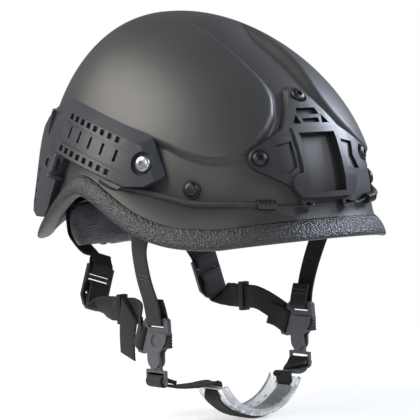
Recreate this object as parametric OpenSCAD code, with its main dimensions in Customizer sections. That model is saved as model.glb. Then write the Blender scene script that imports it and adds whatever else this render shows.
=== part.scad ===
// Combat helmet: high cut shell with edge trim, front mount, side rails, pads and chin harness.
// Millimetres. +Z is up, the front looks along -Y and the wearer's left is +X.
// The origin is the middle of the head opening, level with the lowest part of the front brim.
// The pieces of the wearer's right side (-X) are drawn, and those of the left side mirror them.

/* [Shell] */
// Half width of the shell at its widest level
shell_half_w = 112; // [106:1:118]
// Reach of the shell in front of its centre
shell_front = 149; // [142:1:156]
// Reach of the shell behind its centre
shell_rear = 130; // [124:1:138]
// Height of the crown above the widest level
shell_rise = 149; // [142:1:158]
// Wall thickness of the pressed shell
shell_wall = 7.5; // [6:0.5:9]
// Height of the raised crown over the side walls
crown_step = 4.5; // [2.5:0.5:6]
// Extra depth of the front panel between the crown lobes
panel_dip = 4; // [0:0.5:6]
// How far the crown leans to the rear
crown_lean = 30; // [24:1:36]

/* [Rim] */
// Height of the ear arch over the front corners of the brim
ear_arch_h = 39.5; // [34:0.5:46]
// Height of the rim behind the ears
low_rim_h = 2; // [0:1:8]
// Height of the rim at the nape
nape_rim_h = 20; // [12:1:26]
// Height of the rim at the middle of the brow
brow_rim_h = 4; // [1:1:8]
// How far the brim flares out
brim_flare = 9.5; // [6:0.5:11]
// Wall of the rubber edge trim
trim_wall = 3; // [2:0.5:4]
// Height of the legs of the edge trim
trim_leg = 12; // [9:1:14]

/* [Side rails] */
// Radius of the rail's outer face, seen from above
rail_r = 165; // [155:1:180]
// Height of the rail's outer face
rail_h = 37; // [34:1:40]
// Length of the rail behind its middle
rail_back = 56; // [50:1:60]
// Distance from the rail's middle to its front screw
rail_nose = 58; // [54:1:62]
// Distance between the notches of a lip
notch_pitch = 8.8; // [7.5:0.1:9.2]
// Width of the mouth of the dovetail channel
channel_w = 17; // [15:0.5:19]
// Depth of the dovetail channel
channel_d = 3; // [2:0.5:3.5]

/* [Front mount] */
// Spacing of the two side screws of the mount
mount_screw_w = 92; // [86:1:96]
// Height of the side screws
mount_screw_z = 60; // [57:1:63]
// Height of the top screw
mount_top_z = 104; // [102:1:107]
// Width of the mount's window
window_w = 34; // [28:1:38]
// Height of the mount's window
window_h = 44; // [38:1:46]
// Thickness of the mount's plate
mount_t = 5; // [4:0.5:6]

/* [Fasteners] */
// Diameter of the screw shanks
screw_d = 5; // [4:0.5:6]
// Diameter of the pan heads
head_d = 12.5; // [10:0.5:13]
// Outer diameter of the barrel nuts
barrel_d = 7; // [6.5:0.5:8]
// Diameter of the barrel nuts' flanges
flange_d = 15; // [12:1:17]

/* [Cords] */
// Diameter of the brow shock cords
bungee_d = 4.6; // [4:0.2:5.4]
// Diameter of the ferrules on the shock cords
ferrule_d = 8; // [7:0.5:9]
// Diameter of the wire hooks
wire_d = 1.8; // [1.4:0.1:2]

/* [Harness] */
// Width of the webbing
web_w = 19; // [16:1:20]
// Thickness of the webbing
web_t = 1.8; // [1.4:0.2:2.2]
// Width of the strap dividers
divider_w = 36; // [34:1:38]
// Height of the strap dividers
divider_h = 32; // [31:0.5:34]
// Thickness of a divider's face plate
divider_t = 3; // [2.5:0.5:4]
// Half of the distance between the dividers
divider_x = 72; // [70:0.5:74]
// Width of the chin cup from front to back
cup_w = 36; // [30:1:40]
// Wall of the chin cup
cup_wall = 3; // [2:0.5:4]

/* [Padding] */
// Thickness of the comfort pads
pad_t = 17; // [14:1:20]
// Thickness of the nape pad
nape_t = 11; // [8:1:14]

/* [Hidden] */
$fn = 48;

// Clearance between pieces that lie on each other
seat = 0.35;
// Form of the shell: centre, widest level and the exponents of its curves
centre_y = 6.5;
waist_z = 23;
skirt_depth = 160;
foot_exp = 2.2;
crown_exp = 1.65;
rise_exp = 2.12;
flare_h = 26;
step_w = 9;
// Foot of the raised crown: distance round the shell from its middle line, and height
crease_r = 142;
crease = [[10, 165], [15, 158], [17, 146], [16.5, 132], [16.5, 121], [18.5, 111], [22.5, 101],
    [28, 89], [37, 78], [50, 67.5], [63, 60.5], [77, 57.5], [90, 58.5], [100, 61.5], [109, 64.5],
    [118, 69], [140, 77], [175, 86], [225, 91], [275, 92], [330, 88], [400, 82], [460, 80]];
strip = [for (i = [4:-1:0]) [crease[i].y, crease[i].x]];
foot = [for (i = [4:len(crease) - 1]) crease[i]];

function unit(v) = v/max(norm(v), 1e-9);
function ease(x) = let(u = min(1, max(0, x))) u*u*(3 - 2*u);
function plan_exp(q) = foot_exp + (crown_exp - foot_exp)*pow(max(q, 0)/shell_rise, 2);
function level_k(q) = q >= 0
    ? pow(max(0, 1 - pow(q/shell_rise, rise_exp)), 1/rise_exp)
    : pow(1 - pow(-q/skirt_depth, rise_exp), 1/rise_exp);
function reach(a) = cos(a) > 0 ? shell_front : shell_rear;
function plan_r(a, q) = let(n = plan_exp(q))
    level_k(q)*pow(pow(abs(sin(a))/shell_half_w, n) + pow(abs(cos(a))/reach(a), n), -1/n);
// A point of the smooth form at the plan angle a and the height q over the widest level
function skin(a, q) = let(r = plan_r(a, q), k = max(q, 0)/shell_rise)
    [r*sin(a), centre_y - r*cos(a) + crown_lean*k*k, waist_z + q];
function slope(v, size, n) = n*pow(abs(v)/size, n - 1)/size*sign(v);
// The outward normal of the smooth form
function facing(a, q) = let(
    r = plan_r(a, q),
    n = plan_exp(q),
    size = q >= 0 ? shell_rise : skirt_depth,
    left = max(1e-6, 1 - pow(abs(q)/size, rise_exp)),
    fx = slope(r*sin(a), shell_half_w, n),
    fy = slope(-r*cos(a), reach(a), n),
    fq = n*pow(left, n/rise_exp - 1)*pow(abs(q)/size, rise_exp - 1)/size*sign(q),
    lean = q > 0 ? 2*crown_lean*q/(shell_rise*shell_rise) : 0)
    unit([fx, fy, fq - fy*lean]);
function seg_gap(p, a, b) = let(d = b - a, t = min(1, max(0, ((p - a)*d)/(d*d))))
    norm(p - a - t*d);
// Distance inside the foot of the raised crown, negative outside it
function crown_gap(a, q) = let(
    p = skin(a, q),
    w = ease((p.z - 100)/30)*(1 - ease(p.y/40)),
    u = (1 - w)*crease_r*abs(a)*PI/180 + w*abs(p.x),
    gap = min([for (i = [0:len(crease) - 2]) seg_gap([u, p.z], crease[i], crease[i + 1])]),
    inside = p.z > 120 ? u > lookup(p.z, strip) : u > foot[0].x && p.z > lookup(u, foot))
    inside ? gap : -gap;
function raised(a, q) = let(
    p = skin(a, q),
    side = sin(90*min(1, max(0, crown_gap(a, q)/step_w))),
    top = p.z > 140 ? ease((p.y + 55)/45) : 0,
    f = max(side, top),
    rear = 1 - 0.5*ease((p.y - 26)/100))
    crown_step*f*rear - panel_dip*(1 - f)*ease((p.z - 90)/50);
// Height of the rim at the plan angle a
function rim_z(a) = let(
    t = abs(a),
    u = pow(min(1, max(0, (t - 32)/60)), 1.4),
    v = pow(min(1, max(0, (t - 92)/45)), 0.82))
    t < 32 ? (brow_rim_h + 1)*(1 - pow(t/32, 2)) - 1
    : t < 92 ? ear_arch_h*ease(u) - 1 + ease(u)
    : ear_arch_h - (ear_arch_h - low_rim_h)*ease(v) + (nape_rim_h - low_rim_h)*ease((t - 137)/43);
// A point at the distance off from the outer surface
function outer(a, q, off = 0) = let(
    n = facing(a, q),
    up = 1 - (waist_z + q - rim_z(a))/flare_h,
    flare = brim_flare*pow(min(2, max(0, up)), 2)*(0.55 + 0.45*abs(cos(a))))
    skin(a, q) + n*(raised(a, q) + off) + unit([n.x, n.y, 0])*flare;

// Columns of the shell's grid, closer together in front, and rows from the crown to the rim
col_n = 88;
row_n = 22;
cols = [for (i = [0:col_n - 1]) let(u = 360*i/col_n - 180) u - 20*sin(u)];
function bend_q(s, low) = low >= 0
    ? shell_rise*pow(cos(s*acos(pow(low/shell_rise, rise_exp/2))), 2/rise_exp)
    : let(f = 150/(150 - low))
        s < f ? shell_rise*pow(max(0, cos(90*s/f)), 2/rise_exp) : low*(s - f)/(1 - f);
function row_q(a, j) = let(low = rim_z(a) - waist_z)
    j <= row_n - 2 ? bend_q(j/(row_n - 2), low + trim_leg) : low + trim_leg*(row_n - j)/2;
function grid_pt(i, j, off) = let(a = cols[i]) outer(a, row_q(a, j), off);

// Faces of a solid made of an outer and an inner grid of n columns and m rows, open in both ways
function quad(a, b, c, d) = [[a, b, c], [a, c, d]];
function block_faces(n, m) = let(k = n*m) concat(
    [for (i = [0:n - 2], j = [0:m - 2], t = quad(i*m + j, i*m + m + j, i*m + m + j + 1, i*m + j + 1)) t],
    [for (i = [0:n - 2], j = [0:m - 2], t = quad(k + i*m + j, k + i*m + j + 1, k + i*m + m + j + 1,
        k + i*m + m + j)) t],
    [for (i = [0:n - 2], t = quad(i*m, k + i*m, k + i*m + m, i*m + m)) t],
    [for (i = [0:n - 2], t = quad(i*m + m - 1, i*m + 2*m - 1, k + i*m + 2*m - 1, k + i*m + m - 1)) t],
    [for (j = [0:m - 2], t = quad(j, j + 1, k + j + 1, k + j)) t],
    [for (j = [0:m - 2], t = quad(n*m - m + j, k + n*m - m + j, k + n*m - m + j + 1, n*m - m + j + 1)) t]);
// A block that hugs the shell between two plan angles and two rows, from off down to depth
module hug(a0, a1, j0, j1, off, depth) {
    idx = [for (i = [0:col_n - 1]) if (cols[i] >= a0 && cols[i] <= a1) i];
    top = [for (i = idx, j = [j0:j1]) grid_pt(i, j, off)];
    low = [for (i = idx, j = [j0:j1]) grid_pt(i, j, depth)];
    polyhedron(concat(top, low), block_faces(len(idx), j1 - j0 + 1), convexity = 6);
}

// A tube swept along points, with flat ends
function turn(p, i) = unit(p[min(i + 1, len(p) - 1)] - p[max(i - 1, 0)]);
function across(t) = unit(cross(t, abs(t.z) < 0.8 ? [0, 0, 1] : [0, 1, 0]));
function carry(p, i) = i == 0 ? across(turn(p, 0))
    : let(t = turn(p, i), v = carry(p, i - 1)) unit(v - t*(v*t));
module tube(p, d, sides = 8) {
    n = len(p);
    pts = [for (i = [0:n - 1]) let(t = turn(p, i), u = carry(p, i), v = cross(t, u))
        for (k = [0:sides - 1]) p[i] + d/2*(cos(360*k/sides)*u + sin(360*k/sides)*v)];
    sides_f = [for (i = [0:n - 2], k = [0:sides - 1]) let(l = (k + 1)%sides)
        for (t = quad(i*sides + k, i*sides + sides + k, i*sides + sides + l, i*sides + l)) t];
    ends = [for (k = [1:sides - 2], t = [[0, k, k + 1],
        [n*sides - sides, n*sides - sides + k + 1, n*sides - sides + k]]) t];
    polyhedron(pts, concat(sides_f, ends), convexity = 6);
}
// Smooth points between the points of a route
function mid(p, i, t) = let(a = p[max(i - 1, 0)], b = p[i], c = p[i + 1], d = p[min(i + 2, len(p) - 1)])
    0.5*((2*b) + (c - a)*t + (2*a - 5*b + 4*c - d)*t*t + (3*b - a - 3*c + d)*t*t*t);
function smooth(p, k) = concat([for (i = [0:len(p) - 2], j = [0:k - 1]) mid(p, i, j/k)], [p[len(p) - 1]]);
// A flat band of webbing through stations of a centre and a direction across it
function part_of(s, k) = [for (v = s) v[k]];
module band(stations, width = web_w, thick = web_t, steps = 2) {
    c = smooth(part_of(stations, 0), steps);
    w = smooth(part_of(stations, 1), steps);
    n = len(c);
    frames = [for (i = [0:n - 1]) let(t = turn(c, i), u = unit(w[i] - t*(w[i]*t))) [u, cross(t, u)]];
    pts = [for (i = [0:n - 1], k = [[1, 1], [-1, 1], [-1, -1], [1, -1]])
        c[i] + frames[i][0]*k[0]*width/2 + frames[i][1]*k[1]*thick/2];
    sides_f = [for (i = [0:n - 2], k = [0:3]) let(l = (k + 1)%4)
        for (t = quad(i*4 + k, i*4 + 4 + k, i*4 + 4 + l, i*4 + l)) t];
    ends = [[0, 1, 2], [0, 2, 3], [4*n - 4, 4*n - 2, 4*n - 3], [4*n - 4, 4*n - 1, 4*n - 2]];
    polyhedron(pts, concat(sides_f, ends), convexity = 6);
}
module left_side() mirror([1, 0, 0]) children();
// A rod between two points
module rod(a, b, d) {
    v = b - a;
    translate(a) rotate([0, acos(v.z/norm(v)), atan2(v.y, v.x)]) cylinder(h = norm(v), d = d);
}
// A flat shape given as [y, z] and thickened along X
module side_plate(x0, x1) translate([x0, 0, 0]) rotate([90, 0, 90]) linear_extrude(x1 - x0) children();
// Puts +Z on the outward normal at a point of the shell
module on_skin(a, z) {
    p = outer(a, z - waist_z);
    n = facing(a, z - waist_z);
    translate(p) rotate([0, acos(n.z), atan2(n.y, n.x)]) children();
}

// Shell and edge trim
module shell_form() {
    m = row_n;
    k = col_n*m;
    ring = [for (off = [0, -shell_wall], i = [0:col_n - 1], j = [1:m]) grid_pt(i, j, off)];
    tops = [outer(0, shell_rise), outer(0, shell_rise, -shell_wall)];
    walls = [for (i = [0:col_n - 1], j = [0:m - 2]) let(a = i*m + j, b = ((i + 1)%col_n)*m + j)
        for (t = i < col_n/2 ? concat(quad(a, b, b + 1, a + 1), quad(k + a, k + a + 1, k + b + 1, k + b))
            : concat(quad(b, b + 1, a + 1, a), quad(k + a + 1, k + b + 1, k + b, k + a))) t];
    ends = [for (i = [0:col_n - 1]) let(a = i*m, b = ((i + 1)%col_n)*m)
        for (t = concat([[2*k, b, a], [2*k + 1, k + a, k + b]],
            quad(a + m - 1, b + m - 1, k + b + m - 1, k + a + m - 1))) t];
    polyhedron(concat(ring, tops), concat(walls, ends), convexity = 8);
}
module shell() color([0.16, 0.17, 0.18]) difference() {
    shell_form();
    for (p = mount_spots) on_skin(p.x, p.y) hole();
    for (m = [0, 1]) mirror([m, 0, 0]) {
        for (p = [harness_front, harness_rear, arm_spot]) on_skin(p.x, p.y) hole();
        at_rail_screw() hole();
    }
}
module hole() translate([0, 0, -shell_wall - 8]) cylinder(h = shell_wall + 16, r = barrel_d/2 + 0.15);
trim_sec = [[seat, trim_leg], [seat, trim_leg/2], [seat, -seat], [-shell_wall - seat, -seat],
    [-shell_wall - seat, trim_leg/2], [-shell_wall - seat, trim_leg],
    [-shell_wall - trim_wall + 0.8, trim_leg], [-shell_wall - trim_wall, trim_leg/2],
    [-shell_wall - trim_wall, 0], [-shell_wall - 0.4*trim_wall, -trim_wall],
    [-shell_wall/2, -trim_wall - 1.2], [0.4*trim_wall, -trim_wall], [trim_wall, 0],
    [trim_wall, trim_leg/2], [trim_wall - 0.8, trim_leg]];
module edge_trim() color([0.1, 0.1, 0.1]) {
    n = len(trim_sec);
    pts = [for (a = cols, s = trim_sec) outer(a, rim_z(a) - waist_z + s.y, s.x)];
    faces = [for (i = [0:col_n - 1], j = [0:n - 1])
        let(a = i*n, b = ((i + 1)%col_n)*n, l = (j + 1)%n)
        for (t = i < col_n/2 ? quad(a + j, a + l, b + l, b + j) : quad(b + j, a + j, a + l, b + l)) t];
    polyhedron(pts, faces, convexity = 8);
}
// Room for the edge trim in what lies over it
module trim_room(a0, a1) {
    idx = [for (i = [0:col_n - 1]) if (cols[i] >= a0 && cols[i] <= a1) i];
    up = [trim_leg + 0.6, trim_leg/2, 0, -10];
    top = [for (i = idx, h = up) outer(cols[i], rim_z(cols[i]) - waist_z + h, trim_wall + seat)];
    low = [for (i = idx, h = up) outer(cols[i], rim_z(cols[i]) - waist_z + h, -12)];
    polyhedron(concat(top, low), block_faces(len(idx), 4), convexity = 4);
}

// Screws and barrel nuts, with z = 0 on the outer surface of the shell
mount_spots = [[0, mount_top_z], [19.6*mount_screw_w/92, mount_screw_z], [-19.6*mount_screw_w/92,
    mount_screw_z]];
harness_front = [-40.7, 40];
harness_rear = [-150, 45];
arm_spot = [-128, 35];
nut_lip = 1.2;
// Screw with a domed head; a socket of 0 leaves the head plain
module screw(seat_h, d = head_d, washer = 0, socket = 4.6) color([0.75, 0.75, 0.77]) difference() {
    union() {
        translate([0, 0, seat_h + 0.1]) cylinder(h = 1.2, r = max(d/2, washer/2));
        translate([0, 0, seat_h + 1.2]) rotate_extrude() polygon([[0, 0], [d/2, 0], [d/2 - 0.3, 1.1],
            [d/2 - 1.4, 2.1], [d/2 - 3, 2.6], [0, 2.8]]);
        translate([0, 0, 1.5 - shell_wall]) cylinder(h = seat_h + shell_wall, d = screw_d);
    }
    if (socket > 0) translate([0, 0, seat_h + 2.2]) cylinder(h = 5, d = socket, $fn = 6);
}
module nut(under = nut_lip) color([0.25, 0.25, 0.26]) difference() {
    union() {
        translate([0, 0, -shell_wall - under - 1.6]) cylinder(h = 1.6, d = flange_d);
        translate([0, 0, -shell_wall - under - 0.5]) cylinder(h = shell_wall + under - 0.5, d = barrel_d);
    }
    translate([0, 0, -shell_wall - under - 0.8]) cylinder(h = 30, r = screw_d/2 + 0.1);
}
mount_seat = 3.4;
module mount_screws() for (p = mount_spots) on_skin(p.x, p.y) screw(mount_seat, head_d - 1.5);
module mount_nuts() for (p = mount_spots) on_skin(p.x, p.y) nut();

// Front mount
mount_r = [[113, 20], [112.6, 30], [110.9, 45], [107.2, 60], [101.4, 75], [93.1, 90], [82, 105], [72, 115]];
function deep(profile, grow, depth) = concat([for (p = profile) [p.x + grow, p.y]],
    [for (i = [len(profile) - 1:-1:0]) [profile[i].x - depth, profile[i].y]]);
module mount_round(grow = 0, span = 34, depth = 17) translate([0, -35.6, 0]) rotate([0, 0, 270 - span])
    rotate_extrude(angle = 2*span, $fn = 120) polygon(deep(mount_r, grow + mount_t - 5, depth));
module front_plate() translate([0, -80, 0]) rotate([90, 0, 0]) linear_extrude(100) children();
// Points of an arc about c, from the angle a0 to a1
function arc(c, r, a0, a1, n = 8) = [for (i = [0:n]) let(a = a0 + (a1 - a0)*i/n) c + r*[cos(a), sin(a)]];
mount_half = concat(arc([0, mount_top_z], 9, 90, 28, 5), [[26, 83]],
    arc([mount_screw_w/2, mount_screw_z], 10, 62, -75, 10), [[31, 40], [27, 34], [24.6, 31], [23.5, 23],
    [14.5, 23], [13.7, 29]]);
module mount_outline() polygon(concat(mount_half,
    [for (i = [len(mount_half) - 1:-1:1]) [-mount_half[i].x, mount_half[i].y]]));
module front_mount() color([0.13, 0.13, 0.14]) difference() {
    intersection() {
        union() {
            intersection() {
                mount_round();
                for (m = [0, 1]) mirror([m, 0, 0]) hug(-46, 3, 6, row_n, mount_t, -24);
            }
            intersection() {
                mount_round(2.2, 16);
                front_plate() {
                    translate([-window_w/2 - 4, 31]) square([window_w + 8, window_h + 8]);
                    // Tabs at the lower corners of the window
                    for (m = [-1, 1]) polygon([[m*16, 32.2], [m*20, 31.4], [m*25, 31.8], [m*30, 38],
                        [m*31, 44.2], [m*27, 48.6], [m*20, 50.3]]);
                }
            }
        }
        front_plate() mount_outline();
    }
    for (m = [0, 1]) mirror([m, 0, 0]) hug(-46, 3, 6, row_n, seat, -30);
    trim_room(-46, 46);
    front_plate() translate([-window_w/2, 35]) square([window_w, window_h]);
    // Pocket over the window and tapered recesses beside it
    difference() {
        front_plate() {
            polygon([[-9, 97], [9, 97], [10.5, 92], [-10.5, 92]]);
            translate([-8, 86]) square([16, 3.4]);
            for (m = [-1, 1]) polygon([[m*12, 92], [m*10, 85.5], [m*18, 85.5]]);
        }
        mount_round(-4, depth = 40);
    }
    for (m = [-1, 1]) difference() {
        front_plate() polygon([[m*24, 73], [m*37, 70.4], [m*34, 60.7], [m*39, 50.3], [m*31, 50.1],
            [m*24, 54]]);
        mount_round(-2.4, depth = 40);
    }
    for (p = mount_spots) on_skin(p.x, p.y) {
        translate([0, 0, mount_seat]) cylinder(h = 20, r = head_d/2 + 0.6);
        translate([0, 0, -1]) cylinder(h = 20, r = screw_d/2 + 0.2);
    }
    // Eyes for the hooks of the brow cords
    for (m = [-1, 1]) rod([m*19, -190, 26.4], [m*19, -120, 26.4], 3.4);
}

// Side rails with the arm behind them, one moulding on each side
rail_spot = [-shell_half_w - 7.5, -8, 77];
rail_pitch = 17;
rail_lean = 15;
rail_out = 10.2;
screw_b = rail_nose/rail_r*180/PI;
back_b = rail_back/rail_r*180/PI;
arm_axis = [193 - shell_half_w, 15, 0];
module rail_frame() translate(rail_spot) rotate([rail_pitch, 0, 0]) rotate([0, rail_lean, 0])
    translate([rail_r, 0, 0]) children();
// A band round the rail's own axis between two arc lengths, forwards positive
module arc_band(t0, t1) rotate([0, 0, 180 + t0/rail_r*180/PI])
    rotate_extrude(angle = (t1 - t0)/rail_r*180/PI, $fn = 180) children();
// A frame on the rail's outer face at the arc length t, with z into the shell
module on_rail(t, w = 0) rotate([0, 0, t/rail_r*180/PI]) translate([-rail_r, 0, w]) rotate([0, 90,
    0]) children();
// The same frame on the shell under the front screw, with z outwards
screw_w = 2.5;
module at_rail_screw() rail_frame() on_rail(rail_nose, screw_w) translate([0, 0, rail_out])
    rotate([180, 0, 0]) children();
rail_deep = 22;
rail_foot = 1.5;
bevel = 7;
bevel_h = 8.5;
rail_top = rail_h/2 + 4.5;
// Middle of the channel, under the middle of the rail
channel_at = -1.2;
module rail_section() polygon([[rail_r - rail_deep, -rail_h/2 - rail_foot],
    [rail_r - 3, -rail_h/2 - rail_foot], [rail_r, -rail_h/2],
    [rail_r, rail_top - bevel_h], [rail_r - bevel, rail_top], [rail_r - rail_deep, rail_top]]);
module channel(t0, t1) arc_band(t0, t1) translate([0, channel_at]) polygon([
    [rail_r + 1, -channel_w/2 + 0.8], [rail_r + 1, channel_w/2 - 0.8],
    [rail_r - channel_d, channel_w/2 + 2.5], [rail_r - channel_d, -channel_w/2 - 2.5]]);
// Outline of the nose, given as [height, length in front of the screw]
nose = [[rail_top + 6, -2], [rail_top, -2], [1.5, 19], [-2, 18.5], [-13, 8], [-19, -9], [-26, -9],
    [-26, -150], [rail_top + 6, -150]];
// Rear end of the rail, which leans forwards to its foot
rail_end = [[26, -11.3], [-26, 10.5], [-26, -60], [26, -60]];
module rail_plan(t, pts) on_rail(t) translate([0, 0, -10]) linear_extrude(100)
    polygon([for (p = pts) [-p.x, -p.y]]);
arm_outline = [[28, 103.2], [30, 68], [34, 65.5], [40, 56], [45, 46.9], [51, 35], [55, 25.8], [60, 20],
    [68, 17.5], [84, 17.5], [92, 21.5], [93.5, 29], [92.3, 38], [91, 46], [89.4, 57], [87.5, 68],
    [84, 80], [79.5, 88], [71, 95], [62, 100], [54, 103.3], [44, 107]];
lace_spots = [[82, 54], [85, 46], [87.5, 38], [88.5, 30]];
module arm() intersection() {
    translate(arm_axis) rotate([0, 0, 140]) rotate_extrude(angle = 46, $fn = 200)
        polygon(deep([[200, 12], [200.5, 22], [198.5, 36], [196.5, 49], [193.5, 71], [190.5, 90],
            [187.5, 104], [184, 112]], 0, 26));
    side_plate(-160, -60) polygon(arm_outline);
}
clip_t = -46;
clip_w = -31;
clip_out = -6;
module rail_body() {
    rail_frame() {
        intersection() {
            difference() {
                arc_band(-rail_back - 3, rail_nose + 26) rail_section();
                rail_plan(8 - rail_back, rail_end);
                // Bevel of the nose, which carries on the bevel of the upper edge
                on_rail(rail_nose) translate([-rail_top, 2, 0]) rotate([0, 0, -135])
                    rotate([90, 0, 0]) translate([0, 0, -40]) linear_extrude(80)
                    polygon([[0, bevel], [-12.1, -3], [12, -3], [12, bevel]]);
            }
            rail_plan(rail_nose, nose);
        }
        // Foot that widens to the way out of the brow cord
        on_rail(20) translate([0, 0, 5]) linear_extrude(17) polygon([for (p = [[-10, -30], [-18.9, -25],
            [-23, 14], [-23, 23], [-14, 32]]) [-p.x, -p.y]]);
        // Lugs and pin of the clip
        for (w = [clip_w - 9.5, clip_w + 6.5]) {
            rotate([0, 0, clip_t/rail_r*180/PI]) translate([-rail_r - clip_out, 0, w])
                cylinder(h = 3, r = 2.6);
            on_rail(clip_t, w) translate([-3, -2.6, -clip_out]) cube([3, 5.2, 10]);
        }
        rotate([0, 0, clip_t/rail_r*180/PI]) translate([-rail_r - clip_out, 0, clip_w - 8])
            cylinder(h = 16, r = 1.2);
    }
    arm();
}
module rail() color([0.3, 0.33, 0.37]) difference() {
    rail_body();
    hug(-162, -38, 5, row_n, seat, -26);
    trim_room(-162, -38);
    rail_frame() {
        channel(-rail_back - 22, rail_nose - 12.5);
        for (i = [-2:2]) on_rail(15.5*i, 0.7 + channel_at) translate([-4.75, -1.4, -1])
            cube([9.5, 2.8, channel_d + 4.5]);
        for (i = [0:7], m = [-1, 1]) on_rail((i - 3.5)*notch_pitch, channel_at + m*12.9)
            translate([-2.3, -2.5, -1]) cube([4.6, 5, 3.4]);
        on_rail(rail_nose, screw_w) translate([0, 0, -1]) cylinder(h = 5, r = 9);
        on_rail(rail_nose, screw_w) translate([0, 0, -1]) cylinder(h = 40, r = screw_d/2 + 0.2);
    }
    on_skin(arm_spot.x, arm_spot.y) translate([0, 0, -1]) cylinder(h = 9.3, r = barrel_d/2 + 0.08);
    for (p = lace_spots) rod([-160, p.x, p.y], [-60, p.x, p.y], 3.4);
    // Way in for the end of the brow cord, open to the shell
    for (i = [0:6]) let(v = cord_way[i + 1] - cord_way[i], w = bungee_d + 2.6*seat) translate(cord_way[i])
        rotate([0, acos(v.z/norm(v)), atan2(v.y, v.x)]) translate([-w/2, -w/2, i == 0 ? -3 : -1])
        cube([w + (i > 1 ? 6 : 0), 14, norm(v) + (i == 0 ? 4 : 2)]);
}
module rail_right() rail();
module rail_left() left_side() rail();
// Screw from inside the shell, into a threaded sleeve in the arm
module inner_screw() color([0.75, 0.75, 0.77]) difference() {
    low = -shell_wall - nut_lip;
    union() {
        translate([0, 0, low - 1.2]) cylinder(h = 1.2, d = flange_d - 2);
        translate([0, 0, low - 1]) mirror([0, 0, 1]) rotate_extrude() polygon([[0, 0], [5.5, 0], [5.2, 1],
            [4, 2], [2.6, 2.4], [0, 2.5]]);
        translate([0, 0, low - 1]) cylinder(h = 7.6 - low, d = screw_d);
    }
    translate([0, 0, low - 5]) cylinder(h = 2.8, d = 3.6, $fn = 6);
}
module rail_screws() {
    at_rail_screw() screw(rail_out - 4);
    on_skin(arm_spot.x, arm_spot.y) inner_screw();
}
module rail_screws_right() rail_screws();
module rail_screws_left() left_side() rail_screws();
module rail_nuts() {
    at_rail_screw() nut(nut_lip + 0.3);
    on_skin(arm_spot.x, arm_spot.y) color([0.25, 0.25, 0.26]) difference() {
        translate([0, 0, 0.8]) cylinder(h = 7.2, d = barrel_d);
        cylinder(h = 30, r = screw_d/2 + 0.1);
    }
}
module rail_nuts_right() rail_nuts();
module rail_nuts_left() left_side() rail_nuts();
// Loop that swings on the pin at the rear end of the rail
module clip() color([0.2, 0.21, 0.22]) rail_frame() rotate([0, 0, clip_t/rail_r*180/PI])
    translate([-rail_r - clip_out, 0, clip_w]) difference() {
        union() {
            translate([0, 0, -6.15]) cylinder(h = 12.3, r = 2.2);
            rotate([0, 90, 6]) translate([0, 0, -1.3]) linear_extrude(2.6) {
                translate([-6.15, 0]) square([12.3, 9.5]);
                translate([0, 9.5]) circle(r = 6.15);
            }
        }
        translate([0, 0, -20]) cylinder(h = 40, r = 1.25);
        rotate([0, 90, 6]) translate([0, 0, -5]) linear_extrude(10) {
            translate([-3.4, 5.2]) square([6.8, 4.3]);
            translate([0, 9.5]) circle(r = 3.4);
        }
    }
module rail_clip_right() clip();
module rail_clip_left() left_side() clip();
// Cord laid along the rear edge of the arm
edge_way = [[-126.2, 98.6], [-132, 91], [-137, 81.5], [-140.6, 71], [-142.2, 60.5],
    [-143.1, 51], [-143.6, 41], [-143.2, 30], [-142.3, 21]];
module rail_cord() color([0.08, 0.08, 0.08]) tube(smooth([for (p = edge_way) outer(p.x, p.y - waist_z,
    bungee_d/2 + 0.1)], 2), bungee_d - 0.4);
module rail_cord_right() rail_cord();
module rail_cord_left() left_side() rail_cord();

// Shock cords over the brow, from the rails to the front mount
lay = bungee_d/2 + 0.7;
ferrule_off = ferrule_d/2 + 0.8;
cord_spots = [[-78, 23.8], [-75.5, 22], [-73, 20.8], [-68.5, 19.7], [-64, 18.6], [-59, 17], [-54, 14.6],
    [-49, 11.7], [-45, 9.2], [-41.5, 7.3], [-37, 6.2], [-31, 5.5], [-27.5, 5.1]];
cord_way = concat([for (p = cord_spots) outer(p.x, p.y, lay)],
    [outer(-23.5, 4.6, ferrule_off), outer(-21.5, 4.4, ferrule_off)]);
cord_in = unit(cord_way[0] - cord_way[1]);
ferrule_a = outer(-21.8, 4.4, ferrule_off);
ferrule_b = outer(-16.2, 3.6, ferrule_off);
ferrule_v = unit(ferrule_b - ferrule_a);
module bungee() color([0.1, 0.1, 0.1]) tube(concat([cord_way[0]],
    smooth([for (i = [1:len(cord_way) - 2]) cord_way[i]], 2),
    [ferrule_a + 1*ferrule_v, ferrule_a + 8*ferrule_v]), bungee_d);
module bungee_right() bungee();
module bungee_left() left_side() bungee();
module ferrule() color([0.14, 0.14, 0.14]) translate(ferrule_a)
    rotate([0, acos(ferrule_v.z), atan2(ferrule_v.y, ferrule_v.x)]) difference() {
        union() {
            cylinder(h = 14, d = ferrule_d - 1);
            for (i = [0:4]) translate([0, 0, 0.4 + 2.9*i]) cylinder(h = 1.6, d = ferrule_d);
        }
        translate([0, 0, -1]) cylinder(h = 10.5, d = bungee_d + 0.8);
        cylinder(h = 40, d = wire_d + 0.4);
    }
module ferrule_right() ferrule();
module ferrule_left() left_side() ferrule();
hook_way = [ferrule_a + 10*ferrule_v, ferrule_a + 14*ferrule_v, ferrule_a + 17*ferrule_v, 
    [-24.6, -151.5, 25.4], [-21, -153.2, 25.9], [-19.1, -152.4, 26.3], [-19, -150, 26.4],
    [-19, -148, 26.4]];
module hook() color([0.7, 0.7, 0.72]) tube(smooth(hook_way, 2), wire_d);
module hook_right() hook();
module hook_left() left_side() hook();

// Harness bolts and nuts
module harness_bolts() for (m = [0, 1], p = [harness_front, harness_rear]) mirror([m, 0, 0])
    on_skin(p.x, p.y) screw(0.4, 11, head_d + 1.5, 0);
module harness_nuts() for (m = [0, 1], p = [harness_front, harness_rear]) mirror([m, 0, 0])
    on_skin(p.x, p.y) nut(seat + web_t + 1.6);

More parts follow.
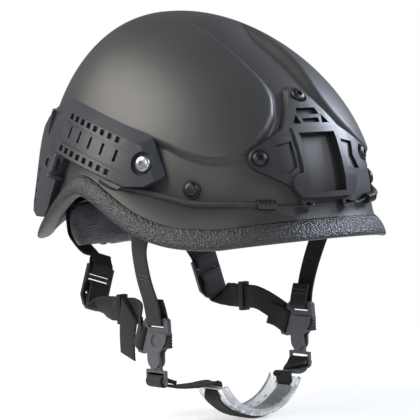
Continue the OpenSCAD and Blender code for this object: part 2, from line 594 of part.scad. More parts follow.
// Comfort pads: soft blocks that hug the inside of the shell, with crowned faces and drawn-in sides
pad_gap = 3.6;
module pad(a0, a1, z0, z1, n = 10, m = 8, gap = pad_gap) {
    us = [for (i = [0:n - 1]) 2*i/(n - 1) - 1];
    vs = [for (j = [0:m - 1]) 1 - 2*j/(m - 1)];
    function soft(u, v) = pow(max(0, 1 - pow(abs(u), 5)), 0.5)*pow(max(0, 1 - pow(abs(v), 5)), 0.5);
    function spot(u, v, off) = outer((a0 + a1)/2 + (a1 - a0)/2*u*(1 - 0.1*v*v),
        (z0 + z1)/2 - waist_z + (z1 - z0)/2*v*(1 - 0.1*u*u), off);
    back = [for (u = us, v = vs) spot(u, v, -shell_wall - gap - 1.2*(1 - soft(u, v)))];
    face = [for (u = us, v = vs) spot(u*0.97, v*0.97, -shell_wall - gap - 5 - (pad_t - 5)*soft(u, v))];
    polyhedron(concat(back, face), block_faces(n, m), convexity = 4);
}
// Disc of hook tape that holds a pad to the shell
module disc(a, z, deep_in = 4.4, sink = 0.9) on_skin(a, z) translate([0, 0, -shell_wall - sink - deep_in])
    cylinder(h = deep_in, r = 10);
module pad_front() color([0.2, 0.2, 0.2]) {
    pad(-27, 27, 38, 96, 12, 8, pad_gap + 0.8);
    disc(0, 74, 5);
}
module pad_rear() color([0.2, 0.2, 0.2]) {
    pad(151, 209, 48, 108, 12, 8);
    disc(180, 78);
}
module side_pads() {
    pad(-99, -67, 62, 118);
    disc(-83, 88);
    pad(-136, -105, 58, 112);
    disc(-120.5, 84);
}
module pads_right() color([0.2, 0.2, 0.2]) side_pads();
module pads_left() color([0.2, 0.2, 0.2]) left_side() side_pads();
top_gap = pad_gap + 2;
function high(r, a) = bend_q(r*(1 + 0.25*cos(a)), -10);
module pad_crown() color([0.2, 0.2, 0.2]) {
    n = 24;
    back = [for (r = [0.12, 0.26, 0.36, 0.42], i = [0:n - 1]) let(a = 360*i/n - 180)
        outer(a, high(r, a), -shell_wall - top_gap - (r > 0.4 ? 1.5 : 0))];
    face = [for (k = [0:3], i = [0:n - 1]) let(a = 360*i/n - 180, r = [0.12, 0.26, 0.37, 0.415][k])
        outer(a, high(r, a), -shell_wall - top_gap - [pad_t, pad_t - 0.6, pad_t - 3, 6][k])];
    k = 4*n;
    ring_f = [for (j = [0:2], i = [0:n - 1]) let(a = j*n + i, b = j*n + (i + 1)%n)
        for (t = concat(quad(a, b, b + n, a + n), quad(k + a, k + a + n, k + b + n, k + b))) t];
    caps = [for (i = [0:n - 1]) let(b = (i + 1)%n) for (t = concat([[2*k, b, i], [2*k + 1, k + i, k + b]],
        quad(3*n + i, 3*n + b, k + 3*n + b, k + 3*n + i))) t];
    polyhedron(concat(back, face, [outer(0, shell_rise, -shell_wall - top_gap),
        outer(0, shell_rise, -shell_wall - top_gap - pad_t)]), concat(ring_f, caps), convexity = 4);
    disc(180, 171, 6, 1.5);
}
// Pad at the nape, hanging between the rear straps
function puff(u, v) = pow(max(0, 1 - pow(abs(u), 6)), 0.5)*pow(max(0, 1 - pow(abs(v), 4)), 0.5);
function nape_at(u, v, r) = let(a = 48.5*u*(1 - 0.06*v*v), w = v*(1 - 0.2*u*u))
    [-r*sin(a), 14 + r*cos(a) - 4*w*w - 7*(1 - w)/2, 8 + 21*w];
module nape_pad() color([0.28, 0.28, 0.28]) {
    n = 21;
    m = 9;
    us = [for (i = [0:n - 1]) 2*i/(n - 1) - 1];
    vs = [for (j = [0:m - 1]) 1 - 2*j/(m - 1)];
    back = [for (u = us, v = vs) nape_at(u, v, 99 + nape_t/2*puff(u, v) + 1)];
    face = [for (u = us, v = vs) nape_at(u, v, 99 - nape_t/2*puff(u, v) - 1)];
    polyhedron(concat(back, face), block_faces(n, m), convexity = 4);
}

// Webbing. Each station is a centre and a direction across the band.
strap_off = -shell_wall - seat - web_t/2 - 0.6;
function lining(a, z, off = strap_off) = outer(a, z - waist_z, off);
div_spot = [-divider_x, -22, -92];
bar_gap = seat + web_t/2;
// A station that lies flat on the lining, with the path leading on to the next spot
function flat(a, z, b, y, off = strap_off) = let(p = lining(a, z, off))
    [p, unit(cross(facing(a, z - waist_z), lining(b, y, off) - p))];
// Stations of a turn round a bar, given by half its thickness, its edge and the ways along and out
function round_bar(c, half, out, w) = [
    [c + [-half - bar_gap - 0.1, 0, 0] + 3*out, w], [c + [-half - bar_gap - 0.1, 0, 0] + 0.3*out, w],
    [c + [-half - 0.1, 0, 0] - (bar_gap + 0.2)*out, w], [c + [half + 0.1, 0, 0] - (bar_gap + 0.2)*out, w],
    [c + [half + bar_gap + 0.1, 0, 0] + 0.3*out, w], [c + [half + bar_gap + 0.1, 0, 0] + 3*out, w]];
module front_strap() color([0.12, 0.12, 0.12]) difference() {
    band(concat([flat(-35.5, 46, -40.7, 40), flat(-40.7, 40, -47, 33), flat(-47, 33, -54, 27),
        flat(-54, 27, -61, 21, -13.2), [[-93, -42, 14], [0.25, -0.8, -0.5]], [[-91, -31, -4], [0, -0.95,
            -0.25]],
        [[-84, -25.6, -28], [-0.05, -1, 0]], [[-77.5, -25, -48], [0, -1, 0]]],
        round_bar(div_spot + [0, -3, 28], 1.75, [0, 0, 1], [0, -1, 0]),
        [[div_spot + [1, -3, 40], [0, -1, 0]], [div_spot + [-1, -3, 46], [0, -1, 0]]]), steps = 3);
    on_skin(harness_front.x, harness_front.y) hole();
}
module front_strap_right() front_strap();
module front_strap_left() left_side() front_strap();
lock_spot = [-57, 76, -42];
lock_turn = 0;
lock_tilt = 18;
function lock_pt(x, y, z) = let(xs = x*cos(lock_tilt) + z*sin(lock_tilt),
    zs = z*cos(lock_tilt) - x*sin(lock_tilt))
    lock_spot + [xs*cos(lock_turn) - y*sin(lock_turn), xs*sin(lock_turn) + y*cos(lock_turn), zs];
lock_w = lock_pt(1, 0, 0) - lock_pt(0, 0, 0);
module rear_strap() color([0.12, 0.12, 0.12]) difference() {
    band(concat([for (t = [flat(-149.6, 55, -150, 45), flat(-150, 45, -150.3, 33), flat(-150.3, 33,
        -150.4, 21),
        flat(-150.4, 20, -150.4, 10, -12.8)]) [t[0], -t[1]]],
        [[[-57, 104.5, 1], [0.92, 0.4, 0]], [[-55, 98, -8], [0.97, 0.22, -0.1]],
        [[-52.6, 89.5, -15.6], [0.98, 0.05, -0.2]],
        [lock_pt(0, 6.2, 23.5), lock_w], [lock_pt(0, 3.4, 17.5), lock_w], [lock_pt(0, 3.1, 13), lock_w],
        [lock_pt(0, 2, 9.4), lock_w],
        [lock_pt(0, -2, 9.4), lock_w], [lock_pt(0, -3.1, 13), lock_w], [lock_pt(0, -3, 17), lock_w],
        [lock_pt(0, 0.6, 21.5), lock_w], [lock_pt(0, 3.4, 26), lock_w]]), steps = 3);
    on_skin(harness_rear.x, harness_rear.y) hole();
}
module rear_strap_right() rear_strap();
module rear_strap_left() left_side() rear_strap();
// Ladder lock: frame with three slots and a thumb tab
module ladder_lock() color([0.15, 0.15, 0.15]) translate(lock_spot) rotate([0, 0, lock_turn]) rotate([0,
    lock_tilt, 0])
    difference() {
        union() {
            translate([-13, -1.5, -10]) cube([26, 3, 26]);
            translate([0, -1.5, -10]) rotate([-90, 0, 0]) linear_extrude(3) polygon([[-13, 0], [13, 0],
                [9, 7], [5, 10], [-5, 10], [-9, 7]]);
            for (i = [0:3]) translate([-9, 1.4, -10.4 - 2*i]) cube([18, 0.8, 1]);
        }
        translate([-10, -5, 7.4]) cube([20, 10, 4.6]);
        translate([-10, -5, 0.6]) cube([20, 10, 3.8]);
        translate([-10, -5, -8]) cube([20, 10, 4.4]);
    }
module ladder_lock_right() ladder_lock();
module ladder_lock_left() left_side() ladder_lock();
// Lower strap: from the fold in the ladder lock, through the keeper, to the divider
run_x = -60.4;
layer = web_t + 0.5;
slot_n = [0, 0.92, 0.39];
slot_w = [0, 0.39, -0.92];
slot_c = div_spot + [0, 13, 14.5];
// Way of the lower strap round the bar of the ladder lock, across and along the lock
lock_turns = [[-5.6, -19], [-4, -14], [-3.1, -9.3], [-2.3, -6.6], [0, -5.8], [2.3, -5.3], [3.2, -3],
    [3.2, 0],
    [2.2, 2.1], [0, 2.5], [-2.5, 2.2], [-4.6, 0], [-5.5, -4], [-6.2, -14], [-8, -19]];
module lower_strap(hangs = true) color([0.12, 0.12, 0.12]) {
    band(concat([[[run_x - layer, 42, -58], [0, 0, -1]], [[run_x - layer, 47, -58], [0, 0, -1]],
        [[run_x - layer, 52, -57.8], [0.2, 0, -1]], [[-62.9, 63, -58.6], [0.6, 0.1, -0.8]]],
        [for (p = lock_turns) [lock_pt(0, p.x, p.y), lock_w]],
        [[[-61, 62.4, -57.2], [0.6, 0.1, -0.8]], [[run_x, 52, -57.8], [0.2, 0, -1]],
        [[run_x, 47, -58], [0, 0, -1]], [[run_x, 40, -58], [0, 0, -1]], [[run_x, 28, -58], [0, 0, -1]],
        [[run_x, 19, -58], [0, 0, -1]], [[-63, 9, -61.5], [0, 0.25, -1]], [[-73, -1, -71.5], slot_w]],
        round_bar(slot_c + 1.9*slot_n, 1.75, slot_n, slot_w),
        [[slot_c + [3.4, 0, 0] + 12*slot_n, slot_w], [slot_c + [6.8, 0, 0] + 18*slot_n, slot_w]]),
            steps = 3);
    translate([run_x - layer, 0, -58]) {
        side_plate(-web_t/2, web_t/2) polygon([[43.5, web_w/2], [30, web_w/2], [30 - web_w, -web_w/2],
            [43.5, -web_w/2]]);
        if (hangs) side_plate(-web_t/2 - layer, -web_t/2 - 0.5) polygon([[30, web_w/2],
            [30 - web_w, -web_w/2],
            [30 - web_w, -39], [30, -33]]);
        if (hangs) side_plate(-web_t - layer, web_t/2) polygon([[30.2, web_w/2], [28.6, web_w/2],
            [28.6 - web_w, -web_w/2],
            [30.2 - web_w, -web_w/2]]);
    }
}
module lower_strap_right() lower_strap();
// The left loose end is pulled up short and ends at its keeper
module lower_strap_left() left_side() lower_strap(false);
module keeper() color([0.14, 0.14, 0.14]) translate([run_x - layer/2, 35, -58]) difference() {
    translate([-layer/2 - web_t/2 - seat - 1.6, -2.5, -web_w/2 - seat - 2])
        cube([layer + web_t + 2*seat + 3.2, 5, web_w + 2*seat + 4]);
    translate([-layer/2 - web_t/2 - seat, -5, -web_w/2 - seat])
        cube([layer + web_t + 2*seat, 10, web_w + 2*seat]);
}
module keeper_right() keeper();
module keeper_left() left_side() keeper();

// Divider: joins the front and rear straps and carries the swivel of the chin strap
fork_t = 6.4;
eye_t = 2.6;
pin_d = 3.8;
module divider() color([0.34, 0.34, 0.35]) translate(div_spot) difference() {
    union() {
        side_plate(-1.75, 1.75) polygon([[-18, 30.5], [-16, divider_h], [6, divider_h], [10, 31], [15,
            25.5],
            [divider_w/2 + 4, 7], [21, 4], [14, 3], [7, 4], [-7, 4], [-12, 9], [-17, 15], [-18.5, 20]]);
        side_plate(-fork_t/2, fork_t/2) polygon([[-17.5, 20.5], [4.5, 20.5], [9, 8], [7.5, 5], [7.5, 0],
            [-7.5, 0],
            [-7.5, 5], [-12, 9], [-16.5, 14.5]]);
        side_plate(-fork_t/2, fork_t/2) circle(r = 7.5);
    }
    side_plate(-5, 5) translate([-13, 24.2]) square([20, 3.8]);
    translate([0, 13, 14.5]) rotate([23, 0, 0]) translate([-5, -1.9, -10]) cube([10, 3.8, 20]);
    difference() {
        translate([-eye_t/2 - seat, -12, -12]) cube([eye_t + 2*seat, 24, 19.5]);
        translate([-5, 0, 0]) rotate([0, 90, 0]) cylinder(h = 10, d = pin_d);
    }
    translate([-2.3, -30, 8.7]) cube([4.6, 20.5, 10.6]);
    // Sunk face on the outer side
    translate([-fork_t/2 - 20.4, -3, 14]) rotate([0, 90, 0]) cylinder(h = 21.4, r = 5);
}
module divider_right() divider();
module divider_left() left_side() divider();
// Spring latch with ribs, pressed towards the rear
module latch() color([0.2, 0.2, 0.2]) translate(div_spot) {
    translate([-1.95, -18.5, 9.05]) cube([3.9, 6, 9.9]);
    for (i = [0:3]) translate([-1.95, -19.1, 9.6 + 2.4*i]) cube([3.9, 1, 1.2]);
}
module latch_right() latch();
module latch_left() left_side() latch();
// Swivel link that carries the end of the chin strap
module link() color([0.3, 0.3, 0.31]) translate(div_spot) difference() {
    union() {
        side_plate(-eye_t/2, eye_t/2) circle(r = 5.6);
        side_plate(-eye_t/2, eye_t/2) polygon([[-5.6, 0], [5.6, 0], [6.5, -8.6], [12.2, -8.6], [12.2,
            -20], [-12.2, -20],
            [-12.2, -8.6], [-6.5, -8.6]]);
        translate([0, -11, -17.2]) rotate([-90, 0, 0]) cylinder(h = 22, d = 3.6);
    }
    side_plate(-5, 5) translate([-10.3, -15.4]) square([20.6, 4.6]);
    side_plate(-5, 5) translate([-10.3, -25]) square([20.6, 6]);
    translate([-5, 0, 0]) rotate([0, 90, 0]) cylinder(h = 10, d = pin_d + 0.1);
}
module link_right() link();
module link_left() left_side() link();

// Chin cup and the strap through its end slots
cup_r = 44.5;
cup_spot = [0, -45, -96.5];
cup_half = 64;
strap_r = cup_r + seat + web_t/2 + 0.25;
function cup_pt(a, r, y = 0) = cup_spot + [r*sin(a), y, -r*cos(a)];
module chin_strap() color([0.12, 0.12, 0.12]) {
    bar = div_spot + [0, 0, -17.2];
    g = 1.8 + bar_gap + 0.5;
    half = [[bar + [13, -7.5, -2.4], [0, 1, 0]], [bar + [6.5, -2.2, 0.3], [0, 1, 0]], [bar + [1.6, 0, g],
        [0, 1, 0]],
        [bar + [-2.4, 0, g - 1], [0, 1, 0]], [bar + [-g, 0, -0.6], [0, 1, 0]], [bar + [-1.2, 0, -g - 0.2],
            [0, 1, 0]],
        [bar + [5, -1, -3.9], [0, 1, 0]], [bar + [13, -8.5, -4.9], [0, 1, 0]], [[-49, -37.5, -113.8], [0,
            1, 0]],
        [cup_pt(-66, cup_r - 5.6), [0, 1, 0]], [cup_pt(-59.5, cup_r - 3.2), [0, 1, 0]], [cup_pt(-52,
            strap_r + 0.2), [0, 1, 0]],
        [cup_pt(-40, strap_r), [0, 1, 0]], [cup_pt(-27, strap_r), [0, 1, 0]], [cup_pt(-13, strap_r), [0,
            1, 0]]];
    other = [for (i = [len(half) - 1:-1:0]) [[-half[i][0].x, half[i][0].y, half[i][0].z], half[i][1]]];
    band(concat(half, [[cup_pt(0, strap_r), [0, 1, 0]]], other), steps = 3);
}
module chin_cup() color([0.8, 0.82, 0.85, 0.4]) translate(cup_spot) difference() {
    rotate([-90, 0, 0]) rotate([0, 0, 90 - cup_half]) rotate_extrude(angle = 2*cup_half, $fn = 120)
        polygon([[cup_r, -cup_w/2 + 2], [cup_r, cup_w/2 - 2], [cup_r - 2.5, cup_w/2], [cup_r - 5.5,
            cup_w/2],
            [cup_r - cup_wall, cup_w/2 - 4], [cup_r - cup_wall, 4 - cup_w/2], [cup_r - 5.5, -cup_w/2],
            [cup_r - 2.5, -cup_w/2]]);
    for (m = [-1, 1]) rotate([0, -m*58, 0]) translate([-3.6, -web_w/2 - 0.7, -60]) cube([7.2, web_w + 1.4,
        30]);
    // Vents in two rows
    for (a = [-36:12:36], y = [-12, 12]) rotate([0, a, 0]) translate([0, y, -60]) cylinder(h = 30,
        r = 1.6, $fn = 20);
}

shell();
edge_trim();
front_mount();
mount_screws();
mount_nuts();
rail_right();
rail_left();
rail_screws_right();
rail_screws_left();
rail_nuts_right();
rail_nuts_left();
rail_clip_right();
rail_clip_left();
rail_cord_right();
rail_cord_left();
bungee_right();
bungee_left();
ferrule_right();
ferrule_left();
hook_right();
hook_left();
harness_bolts();
harness_nuts();
pad_crown();
pad_front();
pad_rear();
pads_right();
pads_left();
nape_pad();
front_strap_right();
front_strap_left();
rear_strap_right();
rear_strap_left();
ladder_lock_right();
ladder_lock_left();
lower_strap_right();
lower_strap_left();
keeper_right();
keeper_left();
divider_right();
divider_left();
latch_right();
latch_left();
link_right();
link_left();
chin_strap();
chin_cup();
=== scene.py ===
import math

import bpy
import numpy as np
from mathutils import Matrix, Vector


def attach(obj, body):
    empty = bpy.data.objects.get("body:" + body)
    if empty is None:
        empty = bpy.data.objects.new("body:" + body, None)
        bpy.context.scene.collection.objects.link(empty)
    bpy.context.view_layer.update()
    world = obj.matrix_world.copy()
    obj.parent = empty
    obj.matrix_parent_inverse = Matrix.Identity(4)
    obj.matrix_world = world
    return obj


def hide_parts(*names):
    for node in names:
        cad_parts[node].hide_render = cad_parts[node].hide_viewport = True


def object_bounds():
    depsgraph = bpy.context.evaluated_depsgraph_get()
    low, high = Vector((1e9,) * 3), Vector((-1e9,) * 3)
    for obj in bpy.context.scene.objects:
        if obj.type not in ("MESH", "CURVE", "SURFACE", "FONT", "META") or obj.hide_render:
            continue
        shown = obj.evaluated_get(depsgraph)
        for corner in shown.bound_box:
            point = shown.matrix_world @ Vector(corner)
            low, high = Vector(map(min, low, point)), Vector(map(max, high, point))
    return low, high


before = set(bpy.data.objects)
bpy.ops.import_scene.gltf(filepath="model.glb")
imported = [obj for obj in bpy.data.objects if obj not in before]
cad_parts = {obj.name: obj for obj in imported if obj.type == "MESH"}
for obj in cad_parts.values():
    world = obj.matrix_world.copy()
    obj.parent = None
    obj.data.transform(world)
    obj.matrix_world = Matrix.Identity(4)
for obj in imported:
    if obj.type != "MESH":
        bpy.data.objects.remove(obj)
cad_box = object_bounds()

# Studio
# A pale floor under the helmet and soft light from large lamps above and in front of it.
# The camera looks from the wearer's front right, a little above the brim.
look_at = Vector((0, 0, 0.0174))
camera_turn, camera_rise, camera_roll = (math.radians(d) for d in (-37.7, 3.3, -2.05))
camera_far = 1.8
back = Vector((math.sin(camera_turn)*math.cos(camera_rise), -math.cos(camera_turn)*math.cos(camera_rise),
               math.sin(camera_rise)))
level_right = (-back).cross(Vector((0, 0, 1))).normalized()
level_up = level_right.cross(-back)
right = level_right*math.cos(camera_roll) + level_up*math.sin(camera_roll)
up = level_up*math.cos(camera_roll) - level_right*math.sin(camera_roll)
camera = bpy.data.objects.new("camera", bpy.data.cameras.new("camera"))
bpy.context.collection.objects.link(camera)
camera_axes = Matrix((right, up, back)).transposed().to_4x4()
camera.matrix_world = Matrix.Translation(look_at + back*camera_far) @ camera_axes
camera.data.sensor_width = 36
camera.data.lens = 194.7
camera.data.shift_x = 0.0055
camera.data.clip_end = 20
bpy.context.scene.camera = camera
bpy.context.scene.view_settings.view_transform = "Standard"


def linear(code):
    """The linear colour of an sRGB hex value."""
    parts = [int(code[i:i + 2], 16)/255 for i in (0, 2, 4)]
    return [p/12.92 if p <= 0.04045 else ((p + 0.055)/1.055)**2.4 for p in parts] + [1]


def add(tree, kind, inputs=None, **settings):
    """Adds a node to a node tree, with its settings, and its inputs as values or as links."""
    node = tree.nodes.new(kind)
    for key, value in settings.items():
        setattr(node, key, value)
    for key, value in (inputs or {}).items():
        if isinstance(value, bpy.types.NodeSocket):
            tree.links.new(value, node.inputs[key])
        else:
            node.inputs[key].default_value = value
    return node


world = bpy.data.worlds.new("studio")
bpy.context.scene.world = world
world.use_nodes = True
tree = world.node_tree
tree.nodes.clear()
# The camera sees white behind the helmet, also through clear plastic, while the room's light is dim and cool
rays = add(tree, "ShaderNodeLightPath")
seen = add(tree, "ShaderNodeMath", {0: rays.outputs["Is Camera Ray"], 1: rays.outputs["Is Transmission Ray"]},
           operation="MAXIMUM")
room = add(tree, "ShaderNodeBackground", {"Color": linear("e8ecf2"), "Strength": 0.24})
paper = add(tree, "ShaderNodeBackground", {"Color": (1, 1, 1, 1), "Strength": 1})
mixed = add(tree, "ShaderNodeMixShader", {0: seen.outputs[0], 1: room.outputs[0], 2: paper.outputs[0]})
add(tree, "ShaderNodeOutputWorld", {"Surface": mixed.outputs[0]})

# Each lamp: place, size, power and tint
lamps = {"top lamp": ((-1.0, 0.6, 1.0), 1.3, 34, "fffaf2"),
         "key lamp": ((-1.4, -0.9, 0.7), 0.6, 5, "ffffff"),
         "front lamp": ((0.9, -1.35, 1.0), 0.6, 13, "eef3ff"),
         "left lamp": ((1.3, -0.35, 0.75), 0.6, 26, "e6eeff"),
         "low lamp": ((-0.4, -1.2, -0.06), 0.4, 2, "ffffff")}
lamp_aim = Vector((0, 0, 0.05))
for name, (place, size, power, tint) in lamps.items():
    lamp = bpy.data.objects.new(name, bpy.data.lights.new(name, "AREA"))
    bpy.context.collection.objects.link(lamp)
    lamp.data.shape = "DISK"
    lamp.data.size = size
    lamp.data.energy = power
    lamp.data.color = linear(tint)[:3]
    aim = (Vector(place) - lamp_aim).to_track_quat("Z", "Y").to_matrix().to_4x4()
    lamp.matrix_world = Matrix.Translation(place) @ aim

floor_z = cad_box[0][2] - 0.0005
bpy.ops.object.select_all(action="DESELECT")
bpy.ops.mesh.primitive_circle_add(vertices=96, radius=1.4, fill_type="NGON", location=(0, 0, floor_z))
floor = bpy.context.object
floor.name = "floor"
floor_paper = bpy.data.materials.new("floor paper")
floor_paper.use_nodes = True
tree = floor_paper.node_tree
card = tree.nodes["Principled BSDF"]
card.inputs["Base Color"].default_value = linear("f4f4f4")
card.inputs["Roughness"].default_value = 0.9
card.inputs["Specular IOR Level"].default_value = 0.1
place = add(tree, "ShaderNodeTexCoord")
far = add(tree, "ShaderNodeVectorMath", {0: place.outputs["Object"]}, operation="LENGTH")
fade = add(tree, "ShaderNodeMapRange", {"Value": far.outputs["Value"], "From Min": 0.18, "From Max": 0.75},
           interpolation_type="SMOOTHSTEP")
clear = add(tree, "ShaderNodeBsdfTransparent")
# To the camera the card glows by half, so that the shadow on it is as pale as on a white photo table
lit = add(tree, "ShaderNodeEmission", {"Color": (1, 1, 1, 1), "Strength": 1})
rays = add(tree, "ShaderNodeLightPath")
share = add(tree, "ShaderNodeMath", {0: rays.outputs["Is Camera Ray"], 1: 0.55}, operation="MULTIPLY")
paper = add(tree, "ShaderNodeMixShader", {0: share.outputs[0], 1: card.outputs[0], 2: lit.outputs[0]})
cover = add(tree, "ShaderNodeMixShader", {0: fade.outputs[0], 1: paper.outputs[0], 2: clear.outputs[0]})
tree.links.new(cover.outputs[0], tree.nodes["Material Output"].inputs["Surface"])
floor.data.materials.append(floor_paper)

# Shell
# One shell of pressed aramid, 7.5 mm thick, cut high over the ears. The crown stands 4.5 mm proud of the
# skirt, with a crisp crease over the brow, and the whole is sprayed with a fine gritty matt paint.
half_w, reach_front, reach_rear, rise = 112, 149, 130, 149
centre_y, waist_z, skirt_depth, lean, wall = 6.5, 23, 160, 30, 7.5
foot_exp, crown_exp, rise_exp = 2.2, 1.65, 2.12
crown_step, crown_soft, panel_dip, shoulder_w = 4.5, 5, 4, 4.5
brim_flare, flare_h, trim_leg = 9.5, 26, 12
# The crease, from the top of the front panel round to the rear: distance from the middle and height
crease_r = 142
crease = np.array([(10, 165), (15, 158), (17, 146), (16.5, 132), (16.5, 121), (18.5, 111), (22.5, 101),
                   (28, 89), (37, 78), (50, 67.5), (63, 60.5), (77, 57.5), (90, 58.5), (100, 61.5),
                   (109, 64.5), (118, 69), (140, 77), (175, 86), (225, 91), (275, 92), (330, 88), (400, 82),
                   (460, 80)], float)
strip_end, strip_z = 4, 120


def ease(x):
    """A smooth step from 0 to 1."""
    x = np.clip(x, 0, 1)
    return x*x*(3 - 2*x)


def plan_exp(q):
    """Exponent of the plan's curve: near an ellipse at the widest level, and pointed towards the top."""
    return foot_exp + (crown_exp - foot_exp)*(np.maximum(q, 0)/rise)**2


def skin(a, q):
    """Points of the smooth form at the plan angle a in degrees and the height q over the widest level."""
    t = np.radians(a)
    n = plan_exp(q)
    reach = np.where(np.cos(t) > 0, reach_front, reach_rear)
    size = np.where(q >= 0, rise, skirt_depth)
    level = np.maximum(0, 1 - np.minimum(1, np.abs(q)/size)**rise_exp)**(1/rise_exp)
    r = level*((np.abs(np.sin(t))/half_w)**n + (np.abs(np.cos(t))/reach)**n)**(-1/n)
    k = np.maximum(q, 0)/rise
    return np.stack([r*np.sin(t), centre_y - r*np.cos(t) + lean*k*k, waist_z + q], -1)


def facing(a, q):
    """The outward normals of the smooth form."""
    t = np.radians(a)
    n = plan_exp(q)
    p = skin(a, q)
    x, y = p[..., 0], p[..., 1] - centre_y - lean*(np.maximum(q, 0)/rise)**2
    reach = np.where(np.cos(t) > 0, reach_front, reach_rear)
    size = np.where(q >= 0, rise, skirt_depth)
    left = np.maximum(1e-6, 1 - np.minimum(1, np.abs(q)/size)**rise_exp)
    fx = n*np.abs(x/half_w)**(n - 1)/half_w*np.sign(x)
    fy = n*np.abs(y/reach)**(n - 1)/reach*np.sign(y)
    fz = n*left**(n/rise_exp - 1)*np.abs(q/size)**(rise_exp - 1)/size*np.sign(q)
    fz = fz - fy*np.where(q > 0, 2*lean*q/rise**2, 0)
    v = np.stack([fx, fy, fz], -1)
    return v/np.maximum(np.linalg.norm(v, axis=-1, keepdims=True), 1e-12)


def crown_gap(a, q):
    """Distance inside the foot of the raised crown, negative outside it."""
    p = skin(a, q)
    # Beside the front panel distances count from the middle plane, and elsewhere along the girth
    w = ease((p[..., 2] - 100)/30)*(1 - ease(p[..., 1]/40))
    u = (1 - w)*crease_r*np.radians(np.abs(a)) + w*np.abs(p[..., 0])
    at = np.stack([u, p[..., 2]], -1)
    gap = np.full(u.shape, 1e9)
    for b, c in zip(crease[:-1], crease[1:]):
        d = c - b
        s = np.clip(((at - b)@d)/(d@d), 0, 1)
        gap = np.minimum(gap, np.linalg.norm(at - b - s[..., None]*d, axis=-1))
    strip = np.interp(at[..., 1], crease[strip_end::-1, 1], crease[strip_end::-1, 0])
    foot = np.interp(u, crease[strip_end:, 0], crease[strip_end:, 1])
    inside = np.where(at[..., 1] > strip_z, u > strip, (u > crease[strip_end, 0]) & (at[..., 1] > foot))
    return np.where(inside, gap, -gap)


def raised(a, q):
    """Height of the raised crown over the smooth form, and depth of the front panel under it."""
    p = skin(a, q)
    # Beside the front panel the edge of the crown is a wide soft shoulder, and over the brow a crisp step
    soft = ease((p[..., 2] - 98)/26)*(1 - ease((p[..., 1] - 10)/40))
    rise_in = crown_gap(a, q)/(crown_soft + shoulder_w*soft)
    side = (1 - soft)*np.sin(np.pi/2*np.clip(rise_in, 0, 1)) + soft*ease(rise_in)
    top = np.where(p[..., 2] > 140, ease((p[..., 1] + 55)/45), 0)
    f = np.maximum(side, top)
    rear = 1 - 0.5*ease((p[..., 1] - 26)/100)
    return crown_step*f*rear - panel_dip*(1 - f)*ease((p[..., 2] - 90)/50)


def rim_z(a):
    """Height of the shell's rim: a low arch at the brow, high over the ears and lower at the nape."""
    brow_a, ear_a, ear_z, nape_a = 32, 92, 39.5, 137
    t = np.abs(a)
    u = np.clip((t - brow_a)/(ear_a - brow_a), 0, 1)**1.4
    v = np.clip((t - ear_a)/(nape_a - ear_a), 0, 1)**0.82
    brow = 5*(1 - (t/brow_a)**2) - 1
    side = ear_z*ease(u) - 1 + ease(u)
    rear = ear_z - 37.5*ease(v) + 18*ease((t - nape_a)/(180 - nape_a))
    return np.where(t < brow_a, brow, np.where(t < ear_a, side, rear))


def outer(a, q, off=0.0):
    """Points of the shell at the distance off from its outer surface, in millimetres."""
    a, q = np.broadcast_arrays(np.asarray(a, float), np.asarray(q, float))
    n = facing(a, q)
    lift = 1 - (waist_z + q - rim_z(a))/flare_h
    flare = brim_flare*np.clip(lift, 0, 2)**2*(0.55 + 0.45*np.abs(np.cos(np.radians(a))))
    flat = n*np.array([1, 1, 0])
    flat = flat/np.maximum(np.linalg.norm(flat, axis=-1, keepdims=True), 1e-12)
    return skin(a, q) + n*(raised(a, q) + off)[..., None] + flat*flare[..., None]


def bend_q(s, low):
    """Heights that run evenly down the wall, from the crown at 0 to the height low at 1."""
    high = rise*np.cos(s*np.arccos(np.clip(low/rise, 0, 1)**(rise_exp/2)))**(2/rise_exp)
    # About the length of the wall from the crown to the widest level
    to_waist = 150
    f = to_waist/(to_waist - np.minimum(low, -1e-6))
    deep = np.where(s < f, rise*np.maximum(0, np.cos(np.pi/2*np.minimum(1, s/f)))**(2/rise_exp),
                    low*(s - f)/np.maximum(1 - f, 1e-9))
    return np.where(low >= 0, high, deep)


def new_piece(name, points, faces, finish, body, nodes=(), uv=None):
    """A piece from points in millimetres and faces, that rides on a body and stands for CAD nodes."""
    mesh = bpy.data.meshes.new(name)
    mesh.from_pydata((np.asarray(points, float)/1000).tolist(), [], faces)
    if uv is not None:
        layer = mesh.uv_layers.new(name="cloth")
        loops = np.empty(len(mesh.loops), int)
        mesh.loops.foreach_get("vertex_index", loops)
        layer.data.foreach_set("uv", np.asarray(uv, float)[loops].ravel())
    mesh.polygons.foreach_set("use_smooth", [True]*len(mesh.polygons))
    mesh.materials.append(finish)
    mesh.validate()
    part = bpy.data.objects.new(name, mesh)
    bpy.context.collection.objects.link(part)
    dress(part, body, nodes)
    return part


def dress(part, body, nodes):
    """Says which body a piece rides on and which CAD nodes it stands for."""
    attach(part, body)
    if nodes:
        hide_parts(*nodes)


